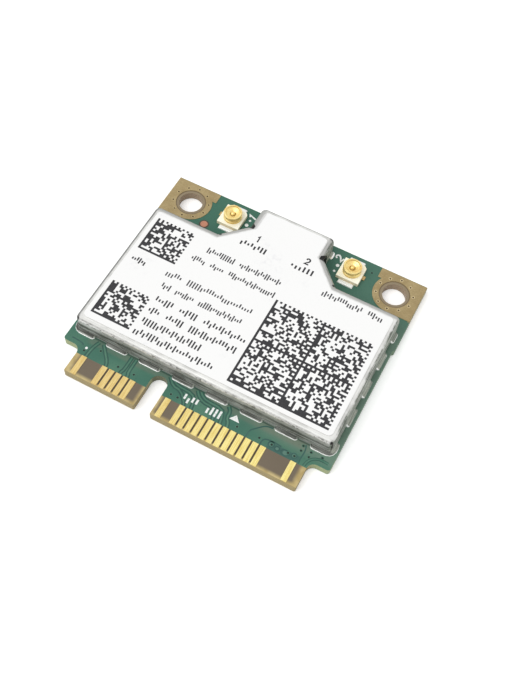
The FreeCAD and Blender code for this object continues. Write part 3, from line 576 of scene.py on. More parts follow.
# Painted reflection: the ring is darker where it faces the front.
ring_gold = turned.mix(ring_gold, (170, 144, 92), (turned_back * -1).step(0.25, 0.9) * 0.4)
ring_gold = turned.mix((196, 166, 112), ring_gold, turned.z.step(TAIL_TOP, TAIL_TOP + 0.1))
turned.set(Base_Color=ring_gold, Roughness=0.32 + rings * 0.14)
turned.bump(rings, 0.006, 0.4)
dress(turned, "main_antenna_shell", "aux_antenna_shell", "main_antenna_contact", "aux_antenna_contact")

# %% [markdown]
# ## Under the shield
#
# Nobody sees these parts while the lid is on, but the part may be taken apart in another scene. They get
# honest finishes: black moulded chips, a nickel can, grey ferrite, tan and black ceramics. One function
# makes them all, because they differ only in colour, shine and roughness.


# %% Finishes of the inner parts
def moulded(name, dark, light, metallic, rough):
    """A finish with a fine grain, for a part that is moulded, pressed or fired."""
    finish = Finish(name, Metallic=metallic)
    grain = finish.noise(6.0, detail=4.0)
    cloud = finish.noise(0.8, detail=2.0, shift=4.0)
    finish.set(Base_Color=finish.mix(dark, light, grain * 0.5 + cloud * 0.5), Roughness=rough + grain * 0.15)
    finish.bump(grain, 0.01, 0.5)
    return finish


CHIPS = ("radio_chip", "main_front_end_chip", "aux_front_end_chip", "memory_chip", "regulator_chip")
TAN_PARTS = ("bulk_capacitors", "decoupling_capacitors", "band_filters")
dress(moulded("chip_epoxy", (26, 26, 28), (44, 44, 46), 0.0, 0.45), *CHIPS)
dress(moulded("nickel_can", (176, 172, 160), (214, 210, 200), 1.0, 0.25), "reference_crystal")
dress(moulded("grey_ferrite", (58, 58, 60), (84, 84, 84), 0.0, 0.5), "power_inductors")
dress(moulded("tan_ceramic", (150, 112, 76), (182, 144, 104), 0.0, 0.4), *TAN_PARTS)
dress(moulded("black_ceramic", (34, 34, 36), (58, 58, 60), 0.0, 0.35), "chip_resistors")

# %% [markdown]
# ## Print on the label
#
# The label's print is generic: plain numbers for the two ports, three squares of random blocks, and rows of
# upright ticks in four heights, like the marks that sorting machines read.
#
# Ink, like tracks and paint, is a film a few thousandths of a millimetre thick. A texture could paint it,
# but cut from thin closed plates it stays sharp at any distance, and it can be exported as it is.

# %% Ink finishes
INK_LOW, INK_HIGH = 3.298, 3.302


def ink_finish(name, dark, light):
    """Thermal print: nearly black, with a slightly broken edge in its density."""
    ink = Finish(name)
    density = ink.noise(4.5, detail=3.0)
    ink.set(Base_Color=ink.mix(dark, light, density.step(0.4, 0.75)), Roughness=0.5 + density * 0.15)
    print("ink:", name)
    return ink


dense_ink = ink_finish("dense_print", (30, 30, 33), (50, 50, 54))
faint_ink = ink_finish("faint_print", (46, 46, 49), (74, 74, 78))


# %% Plates
def new_piece(name, mesh_maker, finish):
    """Makes a mesh, links it, gives it a finish and lets it ride on the card."""
    shape = bmesh.new()
    mesh_maker(shape)
    bmesh.ops.scale(shape, vec=(MM, MM, MM), verts=shape.verts)
    bmesh.ops.recalc_face_normals(shape, faces=shape.faces)
    mesh = bpy.data.meshes.new(name)
    shape.to_mesh(mesh)
    shape.free()
    piece = bpy.data.objects.new(name, mesh)
    bpy.context.scene.collection.objects.link(piece)
    mesh.materials.append(finish.material)
    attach(piece, "root")
    print(name, "has", len(mesh.polygons), "faces")
    return piece


def plate(shape, outline, low, high):
    """A flat closed plate from an outline in the XY plane."""
    bottom = [shape.verts.new((x, y, low)) for x, y in outline]
    top = [shape.verts.new((x, y, high)) for x, y in outline]
    shape.faces.new(bottom)
    shape.faces.new(top)
    for index in range(len(outline)):
        after = (index + 1) % len(outline)
        shape.faces.new((bottom[index], bottom[after], top[after], top[index]))


def bar(shape, x, y, wide, tall, low, high):
    """A flat rectangle, from its lower left corner."""
    plate(shape, [(x, y), (x + wide, y), (x + wide, y + tall), (x, y + tall)], low, high)


# %% [markdown]
# A block square has two solid sides and two that alternate, and is filled at random. A fixed seed gives the
# same blocks every time. Neighbouring dark cells of a row become one bar, so the print has few faces and no
# seams. The large square is four squares side by side.

# %% Block squares
CELLS, QUARTER_CELLS = 18, 22
LARGE_X, LARGE_Y, QUARTER_WIDE, QUARTER_TALL = 2.28, -7.65, 5.42, 5.25

# Each square: its lower left corner, its width, its depth and the cells along a side.
SQUARES = [(-13.18, 1.48, 4.41, 4.33, CELLS), (-13.18, -7.41, 4.41, 4.24, CELLS)]
for column in range(2):
    for row in range(2):
        corner = (LARGE_X + QUARTER_WIDE * column, LARGE_Y + QUARTER_TALL * row)
        SQUARES.append((*corner, QUARTER_WIDE, QUARTER_TALL, QUARTER_CELLS))
chance = random.Random(20)


def is_dark(row, column, cells):
    """Whether a cell is dark: a rule for the four sides, and chance for the rest."""
    if column == 0 or row == 0:
        return True
    if row == cells - 1:
        return column % 2 == 0
    if column == cells - 1:
        return row % 2 == 0
    return chance.random() < 0.5


def make_block_squares(shape):
    for x, y, wide, tall, cells in SQUARES:
        cell_x, cell_y = wide / cells, tall / cells
        for row in range(cells):
            dark = [is_dark(row, column, cells) for column in range(cells)]
            start = None
            for column, filled in enumerate(dark + [False]):
                if filled and start is None:
                    start = column
                if not filled and start is not None:
                    run = (column - start) * cell_x
                    bar(shape, x + start * cell_x, y + row * cell_y, run, cell_y, INK_LOW, INK_HIGH)
                    start = None


new_piece("label_block_squares", make_block_squares, dense_ink)

# %% [markdown]
# Rows of ticks fill the rest of the label. Each tick could be placed by hand, but a row that is given by
# its ends and its groups is easier to change, and its ticks are shared out evenly.

# %% Rows of ticks
# Each kind of tick: its foot and its head, as shares of the row's height.
TICKS = ((0.0, 1.0), (0.34, 1.0), (0.0, 0.66), (0.3, 0.7))

# Each row: left end, right end, foot, height, width of its ticks, and the number of pairs in each group.
BOLD_ROWS = (
    (-4.26, -1.33, 7.1, 0.7, 0.2, (4,)),
    (1.65, 4.13, 7.1, 0.7, 0.2, (3,)),
    (-8.27, 1.82, -3.44, 0.82, 0.17, (3, 3, 7)),
    (-8.27, 1.5, -4.8, 0.8, 0.17, (2, 3, 8)),
    (-8.18, -1.64, -6.2, 0.8, 0.17, (10,)),
    (-8.3, 0.43, -7.56, 0.82, 0.17, (13,)),
    (-12.98, -11.42, -0.24, 0.72, 0.17, (3,)),
)
FINE_ROWS = (
    (5.98, 12.65, 5.5, 0.74, 0.15, (8, 3)),
    (-6.7, 1.78, 4.39, 0.74, 0.15, (6, 9)),
    (-7.68, 1.87, 2.8, 0.74, 0.15, (3, 3, 10)),
    (-8.96, 0.8, -0.15, 0.76, 0.15, (3, 12)),
    (-8.6, 0.43, -1.69, 0.76, 0.15, (2, 4, 9)),
)


def row_of_ticks(shape, x, end, y, tall, width, groups, low=INK_LOW, high=INK_HIGH):
    """Groups of upright ticks from one end to the other. The kind of each tick is picked at random."""
    places = 2 * (sum(groups) + len(groups) - 1)
    pitch = (end - x - width) / (places - 1)
    for pairs in groups:
        for _ in range(2 * pairs):
            foot, head = chance.choice(TICKS)
            bar(shape, x, y + foot * tall, width, (head - foot) * tall, low, high)
            x += pitch
        x += 2 * pitch


def rows_maker(rows):
    def make(shape):
        for row in rows:
            row_of_ticks(shape, *row)
    return make


new_piece("label_bold_rows", rows_maker(BOLD_ROWS), dense_ink)
new_piece("label_fine_rows", rows_maker(FINE_ROWS), faint_ink)

# %% [markdown]
# The ports are numbered, as sockets are. A numeral is one stroke of the pen: a ribbon along a route, with
# its corners mitred so that its width stays the same. A text object could do it too, but this needs no
# font.

# %% Port numbers
# Each numeral is a stroke in a box one unit high.
ONE = ((0.0, 0.74), (0.22, 1.0), (0.22, 0.0))
TWO = (
    (0.02, 0.74), (0.12, 0.93), (0.3, 1.0), (0.48, 0.92), (0.55, 0.74), (0.48, 0.54), (0.0, 0.07),
    (0.58, 0.07),
)
NUMBER_Y, NUMBER_TALL, NUMBER_STROKE = 8.15, 0.78, 0.17
NUMBERS = ((ONE, -2.88), (TWO, 2.78))


def strip(shape, route, width, low, high):
    """A closed ribbon along a route, with its corners mitred."""
    points = [Vector(point) for point in route]
    sides = []
    for index, point in enumerate(points):
        before = points[max(index - 1, 0)]
        after = points[min(index + 1, len(points) - 1)]
        first = (point - before if index else after - point).normalized()
        second = (after - point if index < len(points) - 1 else point - before).normalized()
        across = Vector((-first.y - second.y, first.x + second.x)).normalized()
        reach = width / 2 / max(across.dot(Vector((-first.y, first.x))), 0.5)
        sides.append((point + across * reach, point - across * reach))
    rows = [
        [shape.verts.new((*spot, height)) for height in (low, high) for spot in pair]
        for pair in sides
    ]
    for one, two in zip(rows, rows[1:]):
        for a, b in ((0, 1), (1, 3), (3, 2), (2, 0)):
            shape.faces.new((one[a], one[b], two[b], two[a]))
    for row in (rows[0], rows[-1]):
        shape.faces.new((row[0], row[1], row[3], row[2]))


def numeral(shape, stroke, x, y, tall, width, low, high, angle=0.0):
    """One numeral as a ribbon, turned about its lower left corner."""
    swing = Matrix.Rotation(angle, 2)
    route = [Vector((x, y)) + swing @ Vector(point) * tall for point in stroke]
    strip(shape, route, width, low, high)


def make_port_numbers(shape):
    for stroke, x in NUMBERS:
        numeral(shape, stroke, x, NUMBER_Y, NUMBER_TALL, NUMBER_STROKE, INK_LOW, INK_HIGH)


new_piece("label_port_numbers", make_port_numbers, dense_ink)

# %% [markdown]
# ## Tracks under the green film
#
# Copper tracks show through the film as faint paler lines between two dark ones, where the copper is etched
# away. So each track is two ribbons: a wide dark one for the etched gap, and a narrow pale one on top of
# it. They run from the openings under the frame to the contacts. Other gaps stand alone as thin dark lines,
# and so do the outlines of the islands in the film.

# %% Track tints
BOARD_TOP, BOARD_FOOT = 0.96, 0.04


def film_tint(name, dark, light):
    """The green film where it lies over a track or a gap."""
    tint = Finish(name)
    drift = tint.noise(0.5, detail=3.0)
    tint.set(Base_Color=tint.mix(dark, light, drift.step(0.35, 0.65)), Roughness=0.36 + drift * 0.14)
    print("tint:", name)
    return tint


gap_tint = film_tint("film_over_gap", (32, 76, 66), (42, 88, 75))
track_tint = film_tint("film_over_track", (62, 112, 92), (82, 128, 106))
line_tint = film_tint("film_over_line", (40, 84, 76), (54, 98, 88))

# %% Routes
ARC = (
    (12.42, -10.95), (12.48, -10.55), (12.66, -10.18), (12.95, -9.88), (13.4, -9.69), (13.85, -9.66),
    (14.4, -9.69),
)
PAIRED_TRACKS = (
    ((-11.35, -9.0), (-11.58, -9.6), (-11.68, -10.2), (-11.72, -11.04)),
    ((-10.85, -9.0), (-10.3, -9.65), (-9.55, -10.5), (-9.4, -11.04)),
    ((-7.62, -8.9), (-7.62, -10.45), (-7.76, -10.75), (-7.76, -11.04)),
    ((-7.12, -8.9), (-7.12, -10.5), (-6.97, -10.75), (-6.97, -11.04)),
    ((-3.25, -8.9), (-2.55, -9.62), (-1.6, -9.72), (-0.75, -10.6), (-0.57, -11.04)),
    ((-2.8, -8.9), (-2.2, -9.4), (-0.4, -9.45), (0.1, -10.2), (0.23, -11.04)),
    ((-0.15, -8.9), (0.25, -9.4), (0.9, -9.75), (2.0, -9.8), (2.5, -10.5), (2.62, -11.04)),
    ((0.25, -8.9), (0.55, -9.2), (1.1, -9.45), (2.9, -9.5), (3.25, -10.2), (3.42, -11.04)),
    ((3.35, -8.95), (3.72, -9.4), (3.72, -10.05), (4.1, -10.55), (4.2, -11.04)),
    ARC,
)
SINGLE_GAPS = (
    ((6.21, -11.04), (6.24, -10.2), (6.69, -9.73), (7.19, -9.24), (7.53, -9.01), (8.18, -8.94)),
    ((7.79, -11.04), (7.78, -10.6), (7.95, -10.28), (8.4, -10.2), (9.0, -10.17), (9.7, -10.24)),
    ((11.7, -8.95), (11.84, -9.3), (11.89, -9.8), (11.82, -10.4), (11.88, -11.04)),
    ((-12.6, -10.0), (-12.95, -9.8), (-14.1, -9.75)),
)

# Underneath, each track ends a little further back than the one before it.
UNDER_TRACKS = tuple(
    ((x, -11.04), (x, -9.2 + 0.35 * index), (x * 0.62, -4.0 + 0.8 * index), (x * 0.62, 3.5 + 0.5 * index))
    for index, x in enumerate((2.2, 3.0, 3.8, 4.6, 5.4, 6.2, 7.0))
)
print("tracks:", len(PAIRED_TRACKS), "on top and", len(UNDER_TRACKS), "underneath")

# %% Tracks
GAP_WIDTH, NARROW_GAP, TRACK_WIDTH, LINE_WIDTH = 0.44, 0.3, 0.16, 0.14
OVAL_STEPS = 20

# Each gap is a hair higher than the one before it, so gaps that cross have no faces in the same place.
FILM_STEP, FILM_RISE = 0.004, 0.0004


def soften(route):
    """Cuts the corners of a route, as the drawing film of a board does."""
    points = [Vector(point) for point in route]
    cut = [points[0]]
    for one, two in zip(points, points[1:]):
        cut += [one.lerp(two, 0.25), one.lerp(two, 0.75)]
    return cut + [points[-1]]


def loop(x, y, half_wide, half_tall):
    """An oval route that ends where it starts."""
    angles = [2 * math.pi * index / OVAL_STEPS for index in range(OVAL_STEPS + 1)]
    return [(x + half_wide * math.cos(angle), y + half_tall * math.sin(angle)) for angle in angles]


def make_gaps(shape):
    for index, route in enumerate(PAIRED_TRACKS):
        top = BOARD_TOP + FILM_STEP + FILM_RISE * index
        width = NARROW_GAP if route is ARC else GAP_WIDTH
        strip(shape, soften(route), width, BOARD_TOP - FILM_STEP, top)
    for route in UNDER_TRACKS:
        strip(shape, route, GAP_WIDTH, BOARD_FOOT - FILM_STEP, BOARD_FOOT + FILM_STEP)


def make_lines(shape):
    for route in [soften(route) for route in SINGLE_GAPS] + [loop(*oval) for oval in ISLANDS]:
        strip(shape, route, LINE_WIDTH, BOARD_TOP - FILM_STEP, BOARD_TOP + FILM_STEP)


def make_tracks(shape):
    for route in PAIRED_TRACKS:
        strip(shape, soften(route), TRACK_WIDTH, BOARD_TOP - FILM_STEP, BOARD_TOP + FILM_STEP * 2)
    for route in UNDER_TRACKS:
        strip(shape, route, TRACK_WIDTH, BOARD_FOOT - FILM_STEP * 2, BOARD_FOOT + FILM_STEP)


new_piece("etched_gaps", make_gaps, gap_tint)
new_piece("etched_lines", make_lines, line_tint)
new_piece("copper_tracks", make_tracks, track_tint)

# %% [markdown]
# ## Vias and test points
#
# A via is a plated hole: a small raised rim round a pit whose dark floor is painted shade. In the ground pads
# the rims are bright plating with painted glints, brighter on the right. In the board they lie under the
# film, and take its tint. The underside also has two rows of flat gold test points. Real holes could be cut
# in the board, but the CAD mesh stays as it is, and a turned profile with a floor of painted shade looks the
# same.

# %% Via finishes
pit_finish = Finish("via_pit")
# Painted shade: the pit's dark floor is the darkness inside a hole.
pit_shade_noise = pit_finish.noise(6.0, detail=4.0)
in_film = pit_finish.mix((12, 32, 26), (26, 46, 38), pit_shade_noise)
in_pad = pit_finish.mix((74, 56, 24), (96, 76, 40), pit_shade_noise)
at_back = pit_finish.y.step(6.0, 7.0) * abs(pit_finish.x).step(9.6, 9.9)
pit_finish.set(Base_Color=pit_finish.mix(in_film, in_pad, at_back), Roughness=0.6 + pit_shade_noise * 0.15)

rim_finish = Finish("via_rim_plating", Metallic=0.3)
sheen = rim_finish.noise(6.0, detail=4.0)
# Painted glints: the rims are lighter than the pads, most of all on the right.
left_rim_glint = rim_finish.mix((184, 166, 120), (206, 188, 140), sheen)
right_rim_glint = rim_finish.mix((210, 192, 146), (232, 214, 170), sheen)
to_right = rim_finish.x.step(-2.0, 2.0)
rim_finish.set(Base_Color=rim_finish.mix(left_rim_glint, right_rim_glint, to_right), Roughness=0.3 + sheen * 0.15)
rim_finish.bump(sheen, 0.01, 0.5)
print("via finishes:", pit_finish.material.name, rim_finish.material.name)

# %% Vias
BOARD_VIAS = (
    (-10.74, -9.76), (-8.3, -10.44), (-6.5, -10.44), (-2.24, -10.52), (-1.5, -10.52), (5.04, -10.44),
    (7.44, -10.44), (8.8, -10.5), (10.54, -10.5), (11.22, -10.5), (11.51, -9.15), (11.52, -9.7),
    (12.46, -9.4), (12.46, -9.94), (13.64, -9.4), (-12.22, -10.5), (9.06, 12.2),
)

# Ten vias stand round each screw hole.
PAD_VIA_RADIUS = 1.98
PAD_VIAS = tuple(
    (HOLE_X * side + PAD_VIA_RADIUS * math.cos(math.radians(angle)),
     HOLE_Y + PAD_VIA_RADIUS * math.sin(math.radians(angle)))
    for side in (-1, 1) for angle in range(18, 378, 36)
)
PAD_TOP, PAD_FOOT = 1.0, 0.0

# Each face: its vias, its height, and 1 if it looks up or -1 if it looks down.
PAD_FACES = ((PAD_VIAS, PAD_TOP, 1), (PAD_VIAS, PAD_FOOT, -1))
BOARD_FACES = ((BOARD_VIAS, BOARD_TOP, 1), (BOARD_VIAS, BOARD_FOOT, -1))
RIM = ((0.175, 0.0), (0.17, 0.012), (0.145, 0.016), (0.115, 0.008), (0.115, 0.0), (0.175, 0.0))
PIT = ((0.0, 0.0), (0.12, 0.0), (0.115, 0.007), (0.0, 0.005))


def turn(shape, x, y, profile, segments):
    """Turns a profile of (radius, height) points round an upright axis.

    A radius of 0 closes the shape, and so does a profile that ends where it starts.
    """
    rows = []
    ring = profile[0] == profile[-1]
    for radius, height in profile[:-1] if ring else profile:
        if radius == 0:
            rows.append([shape.verts.new((x, y, height))] * segments)
            continue
        angles = [2 * math.pi * index / segments for index in range(segments)]
        rows.append([
            shape.verts.new((x + radius * math.cos(angle), y + radius * math.sin(angle), height))
            for angle in angles
        ])
    if ring:
        rows.append(rows[0])
    for low, high in zip(rows, rows[1:]):
        for index in range(segments):
            after = (index + 1) % segments
            corners = dict.fromkeys((low[index], low[after], high[after], high[index]))
            shape.faces.new(tuple(corners))


def via_maker(profile, faces):
    def make(shape):
        for spots, height, way in faces:
            raised = [(radius, height + way * rise) for radius, rise in profile]
            for x, y in spots:
                turn(shape, x, y, raised, segments=14)
    return make


new_piece("pad_via_rims", via_maker(RIM, PAD_FACES[:1]), rim_finish)
new_piece("board_via_rims", via_maker(RIM, BOARD_FACES), track_tint)
new_piece("via_pits", via_maker(PIT, PAD_FACES + BOARD_FACES), pit_finish)

# %% Test points underneath
TEST_POINTS = tuple(
    (-11.0 + 2.4 * column, 1.2 + 2.3 * row + 0.5 * ((row + column) % 2))
    for row in range(2) for column in range(9)
)
POINT_RADIUS, POINT_RIM, POINT_LOW = 0.4, BOARD_FOOT - 0.016, BOARD_FOOT - 0.018
POINT = ((0.0, BOARD_FOOT), (POINT_RADIUS, BOARD_FOOT), (POINT_RADIUS, POINT_RIM), (0.0, POINT_LOW))


def make_test_points(shape):
    for x, y in TEST_POINTS:
        turn(shape, x, y, POINT, segments=22)


new_piece("test_points", make_test_points, gold)

# %% [markdown]
# ## White marks on the board
#
# A board carries white printed marks: here an arrow head that points at a contact, dots by the ports, a
# number beside each port and a short row of ticks. They are plates too, a little thicker than ink, with the
# slightly ragged cover that screen printing leaves.

# %% White marks
MARK_LOW, MARK_HIGH = BOARD_TOP - FILM_STEP, BOARD_TOP + 0.015
ARROW = ((3.94, -10.04), (5.02, -10.04), (4.46, -9.4))
MARK_ROW = (-1.0, 3.1, -10.62, 0.86, 0.22, (2, 2))

# Each dot: its middle and its radius.
WHITE_DOTS = (
    (-12.16, -10.16, 0.14), (-5.4, 11.86, 0.14), (-5.46, 11.15, 0.2), (5.44, 10.46, 0.14), (5.46, 11.27, 0.2),
)

# Each number: its stroke and its lower left corner.
MARK_NUMBERS = ((ONE, -5.0, 12.1), (TWO, 5.6, 11.85))
MARK_TALL, MARK_STROKE, MARK_ANGLE = 0.9, 0.19, math.radians(70)

white = Finish("screen_printed_white", Roughness=0.6)
cover = white.noise(5.0, detail=3.0)
white.set(Base_Color=white.mix((214, 222, 216), (248, 250, 248), cover.step(0.32, 0.52)))
white.bump(cover, 0.008, 0.5)


def make_white_marks(shape):
    plate(shape, ARROW, MARK_LOW, MARK_HIGH)
    for x, y, radius in WHITE_DOTS:
        profile = ((0.0, MARK_LOW), (radius, MARK_LOW), (radius, MARK_HIGH), (0.0, MARK_HIGH))
        turn(shape, x, y, profile, segments=18)
    row_of_ticks(shape, *MARK_ROW, MARK_LOW, MARK_HIGH)
    for stroke, x, y in MARK_NUMBERS:
        numeral(shape, stroke, x, y, MARK_TALL, MARK_STROKE, MARK_LOW, MARK_HIGH, MARK_ANGLE)


new_piece("white_marks", make_white_marks, white)

# %% [markdown]
# ## Solder
#
# Solder wets metal and freezes with a smooth hollow slope and rounded ends. It is bright at its foot, and
# further up it is painted dark and streaked, as the wall is, for the wall's shade and reflection in it. On
# the right side the slopes are painted lighter and the foot greener, as reflections. Height above the board
# tells foot from slope, so one material does both.

# %% Solder finishes
bright_tin = (252, 252, 250)

tin = Finish("bright_solder", Metallic=0.6)
tin_right, tin_front, _ = tin.facing()
ripple = tin.noise(2.4, detail=3.0)
slope_streaks = tin.noise(1.1, (0.35, 0.35, 11.0), 3.0)
streaky = slope_streaks.step(0.38, 0.62)
# Painted shade and reflection of the wall: the dark streaked colour of the upper slope.
slope = tin.mix((62, 64, 59), (110, 112, 107), streaky)
# Painted reflection: on slopes that face right it is lighter and greener.
side_slope = tin.mix((116, 122, 112), (168, 172, 160), streaky)
slope = tin.mix(slope, side_slope, tin_right.step(0.35, 0.6))
at_tab = tin.y.step(10.0, 10.5)
wall_reflection_shade = (tin.z + (ripple - 0.5) * 0.03 - at_tab * 0.09).step(1.035, 1.055)
# Painted reflection: the foot of the beads that face right is tinted green.
side_reflection = tin_right.step(0.4, 0.75) * tin.y.within(-7.9, 3.6, 0.4)
solder = tin.mix(tin.mix(bright_tin, (120, 142, 128), side_reflection), slope, wall_reflection_shade)
nose = (tin_front * -1).step(0.25, 0.6) * tin.y.step(-8.2, -7.8)
tin.set(Base_Color=tin.mix(solder, bright_tin, nose), Roughness=0.2 + ripple * 0.16)
tin.bump(ripple, 0.02, 0.5)
# The port solder is near white and barely metallic: partly tin's brightness, partly a painted highlight.
port_tin = moulded("port_solder_tin", (250, 251, 246), (255, 255, 250), 0.12, 0.25)
print("solder finishes:", tin.material.name, port_tin.material.name)

# %% [markdown]
# The CAD runs are plain wedges, so each is replaced by a bead: a hollow section swept along the foot of the
# wall, that shrinks at both ends. The runs are set out as in CAD, from the shield's outline and the
# openings' spacing.

# %% One bead
BEAD_WIDTH, SIDE_WIDTH, BEAD_HEIGHT, BEAD_END = 0.38, 0.34, 0.36, 0.3
BEAD_STEPS, SMALLEST = 20, 0.06

# The section of a bead: how far out and how high, as shares of its width and its height.
BEAD_SECTION = (
    (0.0, 1.0), (0.25, 0.74), (0.5, 0.48), (0.7, 0.33), (0.82, 0.26), (0.93, 0.19), (0.98, 0.1), (1.0, 0.0),
    (0.0, 0.0),
)


def bead(shape, route, width=BEAD_WIDTH):
    """A run of solder on a route that goes round the shield anticlockwise. It tapers roundly at both ends."""
    points = [Vector(point) for point in route]
    lengths = [(two - one).length for one, two in zip(points, points[1:])]
    total = sum(lengths)
    rows = []
    for index in range(BEAD_STEPS + 1):
        reach = (1 - math.cos(math.pi * index / BEAD_STEPS)) / 2 * total
        before = 0.0
        part = 0
        while part < len(lengths) - 1 and before + lengths[part] < reach:
            before += lengths[part]
            part += 1
        ahead = (points[part + 1] - points[part]).normalized()
        spot = points[part] + ahead * (reach - before)
        outward = Vector((ahead.y, -ahead.x))
        to_end = min(min(reach, total - reach) / BEAD_END, 1.0)
        size = max(math.sqrt(1 - (1 - to_end) ** 2), SMALLEST)
        rows.append([
            shape.verts.new((*(spot + outward * out * width * size), BOARD_TOP + high * BEAD_HEIGHT * size))
            for out, high in BEAD_SECTION
        ])
    count = len(BEAD_SECTION)
    for one, two in zip(rows, rows[1:]):
        for index in range(count):
            after = (index + 1) % count
            shape.faces.new((one[index], one[after], two[after], two[index]))
    shape.faces.new(rows[0])
    shape.faces.new(rows[-1])


def twin_beads(shape, route, width=BEAD_WIDTH):
    """A bead on the right of the card and its mirror image on the left."""
    bead(shape, route, width)
    bead(shape, [(-x, y) for x, y in reversed(route)], width)


print("a bead has", (BEAD_STEPS + 1) * len(BEAD_SECTION), "points")

# %% Foot beads
TAB_START = 11.55
CORNER, OPENING, WRAP_END, ARC_STEP = 0.55, 1.3, -7.3, 15
FRONT_OPENINGS, SIDE_OPENINGS = 7, 4


def between_openings(low, high, openings, span):
    """Where runs start and end between evenly spaced openings, from one corner to the other."""
    middle = (low + high) / 2
    stops = [middle + span / (openings + 0.5) * (index - (openings - 1) / 2) for index in range(openings)]
    starts = [low] + [stop + OPENING / 2 for stop in stops]
    ends = [stop - OPENING / 2 for stop in stops] + [high]
    return list(zip(starts, ends))


def corner_arc(x, y, first, last):
    """Points round a corner of the shield, from its middle and two angles in degrees."""
    angles = [math.radians(angle) for angle in range(first, last + 1, ARC_STEP)]
    return [(x + CORNER * math.cos(angle), y + CORNER * math.sin(angle)) for angle in angles]


def make_beads(shape):
    corner_x, corner_y = SHIELD_RIGHT - CORNER, SHIELD_FRONT + CORNER
    fronts = between_openings(-corner_x, corner_x, FRONT_OPENINGS, SHIELD_RIGHT * 2)
    for start, end in fronts[1:-1]:
        bead(shape, ((start, SHIELD_FRONT), (end, SHIELD_FRONT)))
    arc = corner_arc(corner_x, corner_y, -90, 0)
    twin_beads(shape, [(fronts[-1][0], SHIELD_FRONT)] + arc + [(SHIELD_RIGHT, WRAP_END)])
    sides = between_openings(corner_y, SHIELD_BACK - CORNER, SIDE_OPENINGS, SHIELD_BACK - SHIELD_FRONT)
    for start, end in sides[1:]:
        twin_beads(shape, ((SHIELD_RIGHT, start), (SHIELD_RIGHT, end)), SIDE_WIDTH)
    back_start = (SHIELD_RIGHT + SHIELD_VALLEY) / 2 + OPENING / 2
    twin_beads(shape, ((corner_x, SHIELD_BACK), (back_start, SHIELD_BACK)))
    twin_beads(shape, ((TAB_RIGHT - CORNER, TAB_BACK), (OPENING / 2, TAB_BACK)))
    curl = [(TAB_RIGHT, TAB_START)] + corner_arc(TAB_RIGHT - CORNER, TAB_BACK - CORNER, 0, 45)
    twin_beads(shape, curl, SIDE_WIDTH)


def smooth(piece, angle=50):
    """Shades a piece smooth, but for edges sharper than an angle."""
    for polygon in piece.data.polygons:
        polygon.use_smooth = True
    piece.data.set_sharp_from_angle(angle=math.radians(angle))
    return piece


beads = smooth(new_piece("foot_solder_beads", make_beads, tin))
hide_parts("frame_solder")

# %% [markdown]
# Each port is held by two tabs, one in front of it and one behind it, and solder lies over each tab as a
# rounded slab. A box with a bevel could stand for it, but a grid that is raised in the middle, with its
# points crowded near the rim, gives a softer fall and no flat top.

# %% Solder on the ports' ground tabs
PORT_X, PORT_Y = 7.15, 11.1
TAB_NEAR, TAB_FAR, TAB_HALF = 1.28, 1.82, 0.88
TAB_HEIGHT = 0.16
SLAB_ACROSS, SLAB_ALONG = 14, 8
END_POWER, SIDE_POWER = 12, 5


def crowded(count):
    """Shares from 0 to 1 that lie closer together near both ends."""
    return [(1 - math.cos(math.pi * index / count)) / 2 for index in range(count + 1)]


def bulge(share, power):
    """1 in the middle of a slab, with a steep rounded fall to 0 at both ends."""
    return math.sqrt(max(1 - abs(2 * share - 1) ** power, 0.0))


def slab(shape, x, side):
    """A rounded slab of solder on one side of a port."""
    grid = []
    for v in crowded(SLAB_ALONG):
        y = PORT_Y + side * (TAB_NEAR + (TAB_FAR - TAB_NEAR) * v)
        line = []
        for u in crowded(SLAB_ACROSS):
            height = BOARD_TOP + TAB_HEIGHT * bulge(u, END_POWER) * bulge(v, SIDE_POWER)
            line.append(shape.verts.new((x + TAB_HALF * (2 * u - 1), y, height)))
        grid.append(line)
    for low, high in zip(grid, grid[1:]):
        for column in range(SLAB_ACROSS):
            shape.faces.new((low[column], low[column + 1], high[column + 1], high[column]))
    rim = grid[0] + [line[-1] for line in grid[1:]]
    rim += grid[-1][-2::-1] + [line[0] for line in grid[-2:0:-1]]
    shape.faces.new(rim)


def make_port_solder(shape):
    for x in (-PORT_X, PORT_X):
        for side in (-1, 1):
            slab(shape, x, side)


smooth(new_piece("port_solder", make_port_solder, port_tin), angle=70)

# %% [markdown]
# ## Inside the ports
#
# Seen from above, the inside of each ring is a smooth gold dish round the pin. A turned profile makes it:
# it starts under the ring's lip, curves down and stops short of the pin, which leaves a dark gap round it.
# The pin's end is flat in CAD and slightly domed in the hand, so it gets a small turned cap.

# %% Port dishes
DISH = (
    (0.79, 2.21), (0.74, 2.14), (0.56, 2.08), (0.4, 2.02), (0.3, 1.94), (0.3, 1.6), (0.79, 1.6), (0.79, 2.21),
)
CAP = ((0.0, 2.05), (0.22, 2.05), (0.215, 2.08), (0.17, 2.13), (0.09, 2.16), (0.0, 2.17))


def make_dishes(shape):
    for x in (-PORT_X, PORT_X):
        turn(shape, x, PORT_Y, DISH, segments=40)
        turn(shape, x, PORT_Y, CAP, segments=20)


smooth(new_piece("port_dishes", make_dishes, turned))

# %% [markdown]
# ## Soft edges
#
# CAD edges are perfectly sharp, and no real edge is. A bevel modifier rounds the board and the ports'
# mouldings a little, without touching the CAD mesh itself, so that their edges catch the light. A weld
# comes first, because a bevel needs faces that share their edges.

# %% Bevels
WELD_REACH, BEVEL_ANGLE = 0.0005, 40
BEVELS = {"main_antenna_base": 0.05, "aux_antenna_base": 0.05, "circuit_board": 0.03}

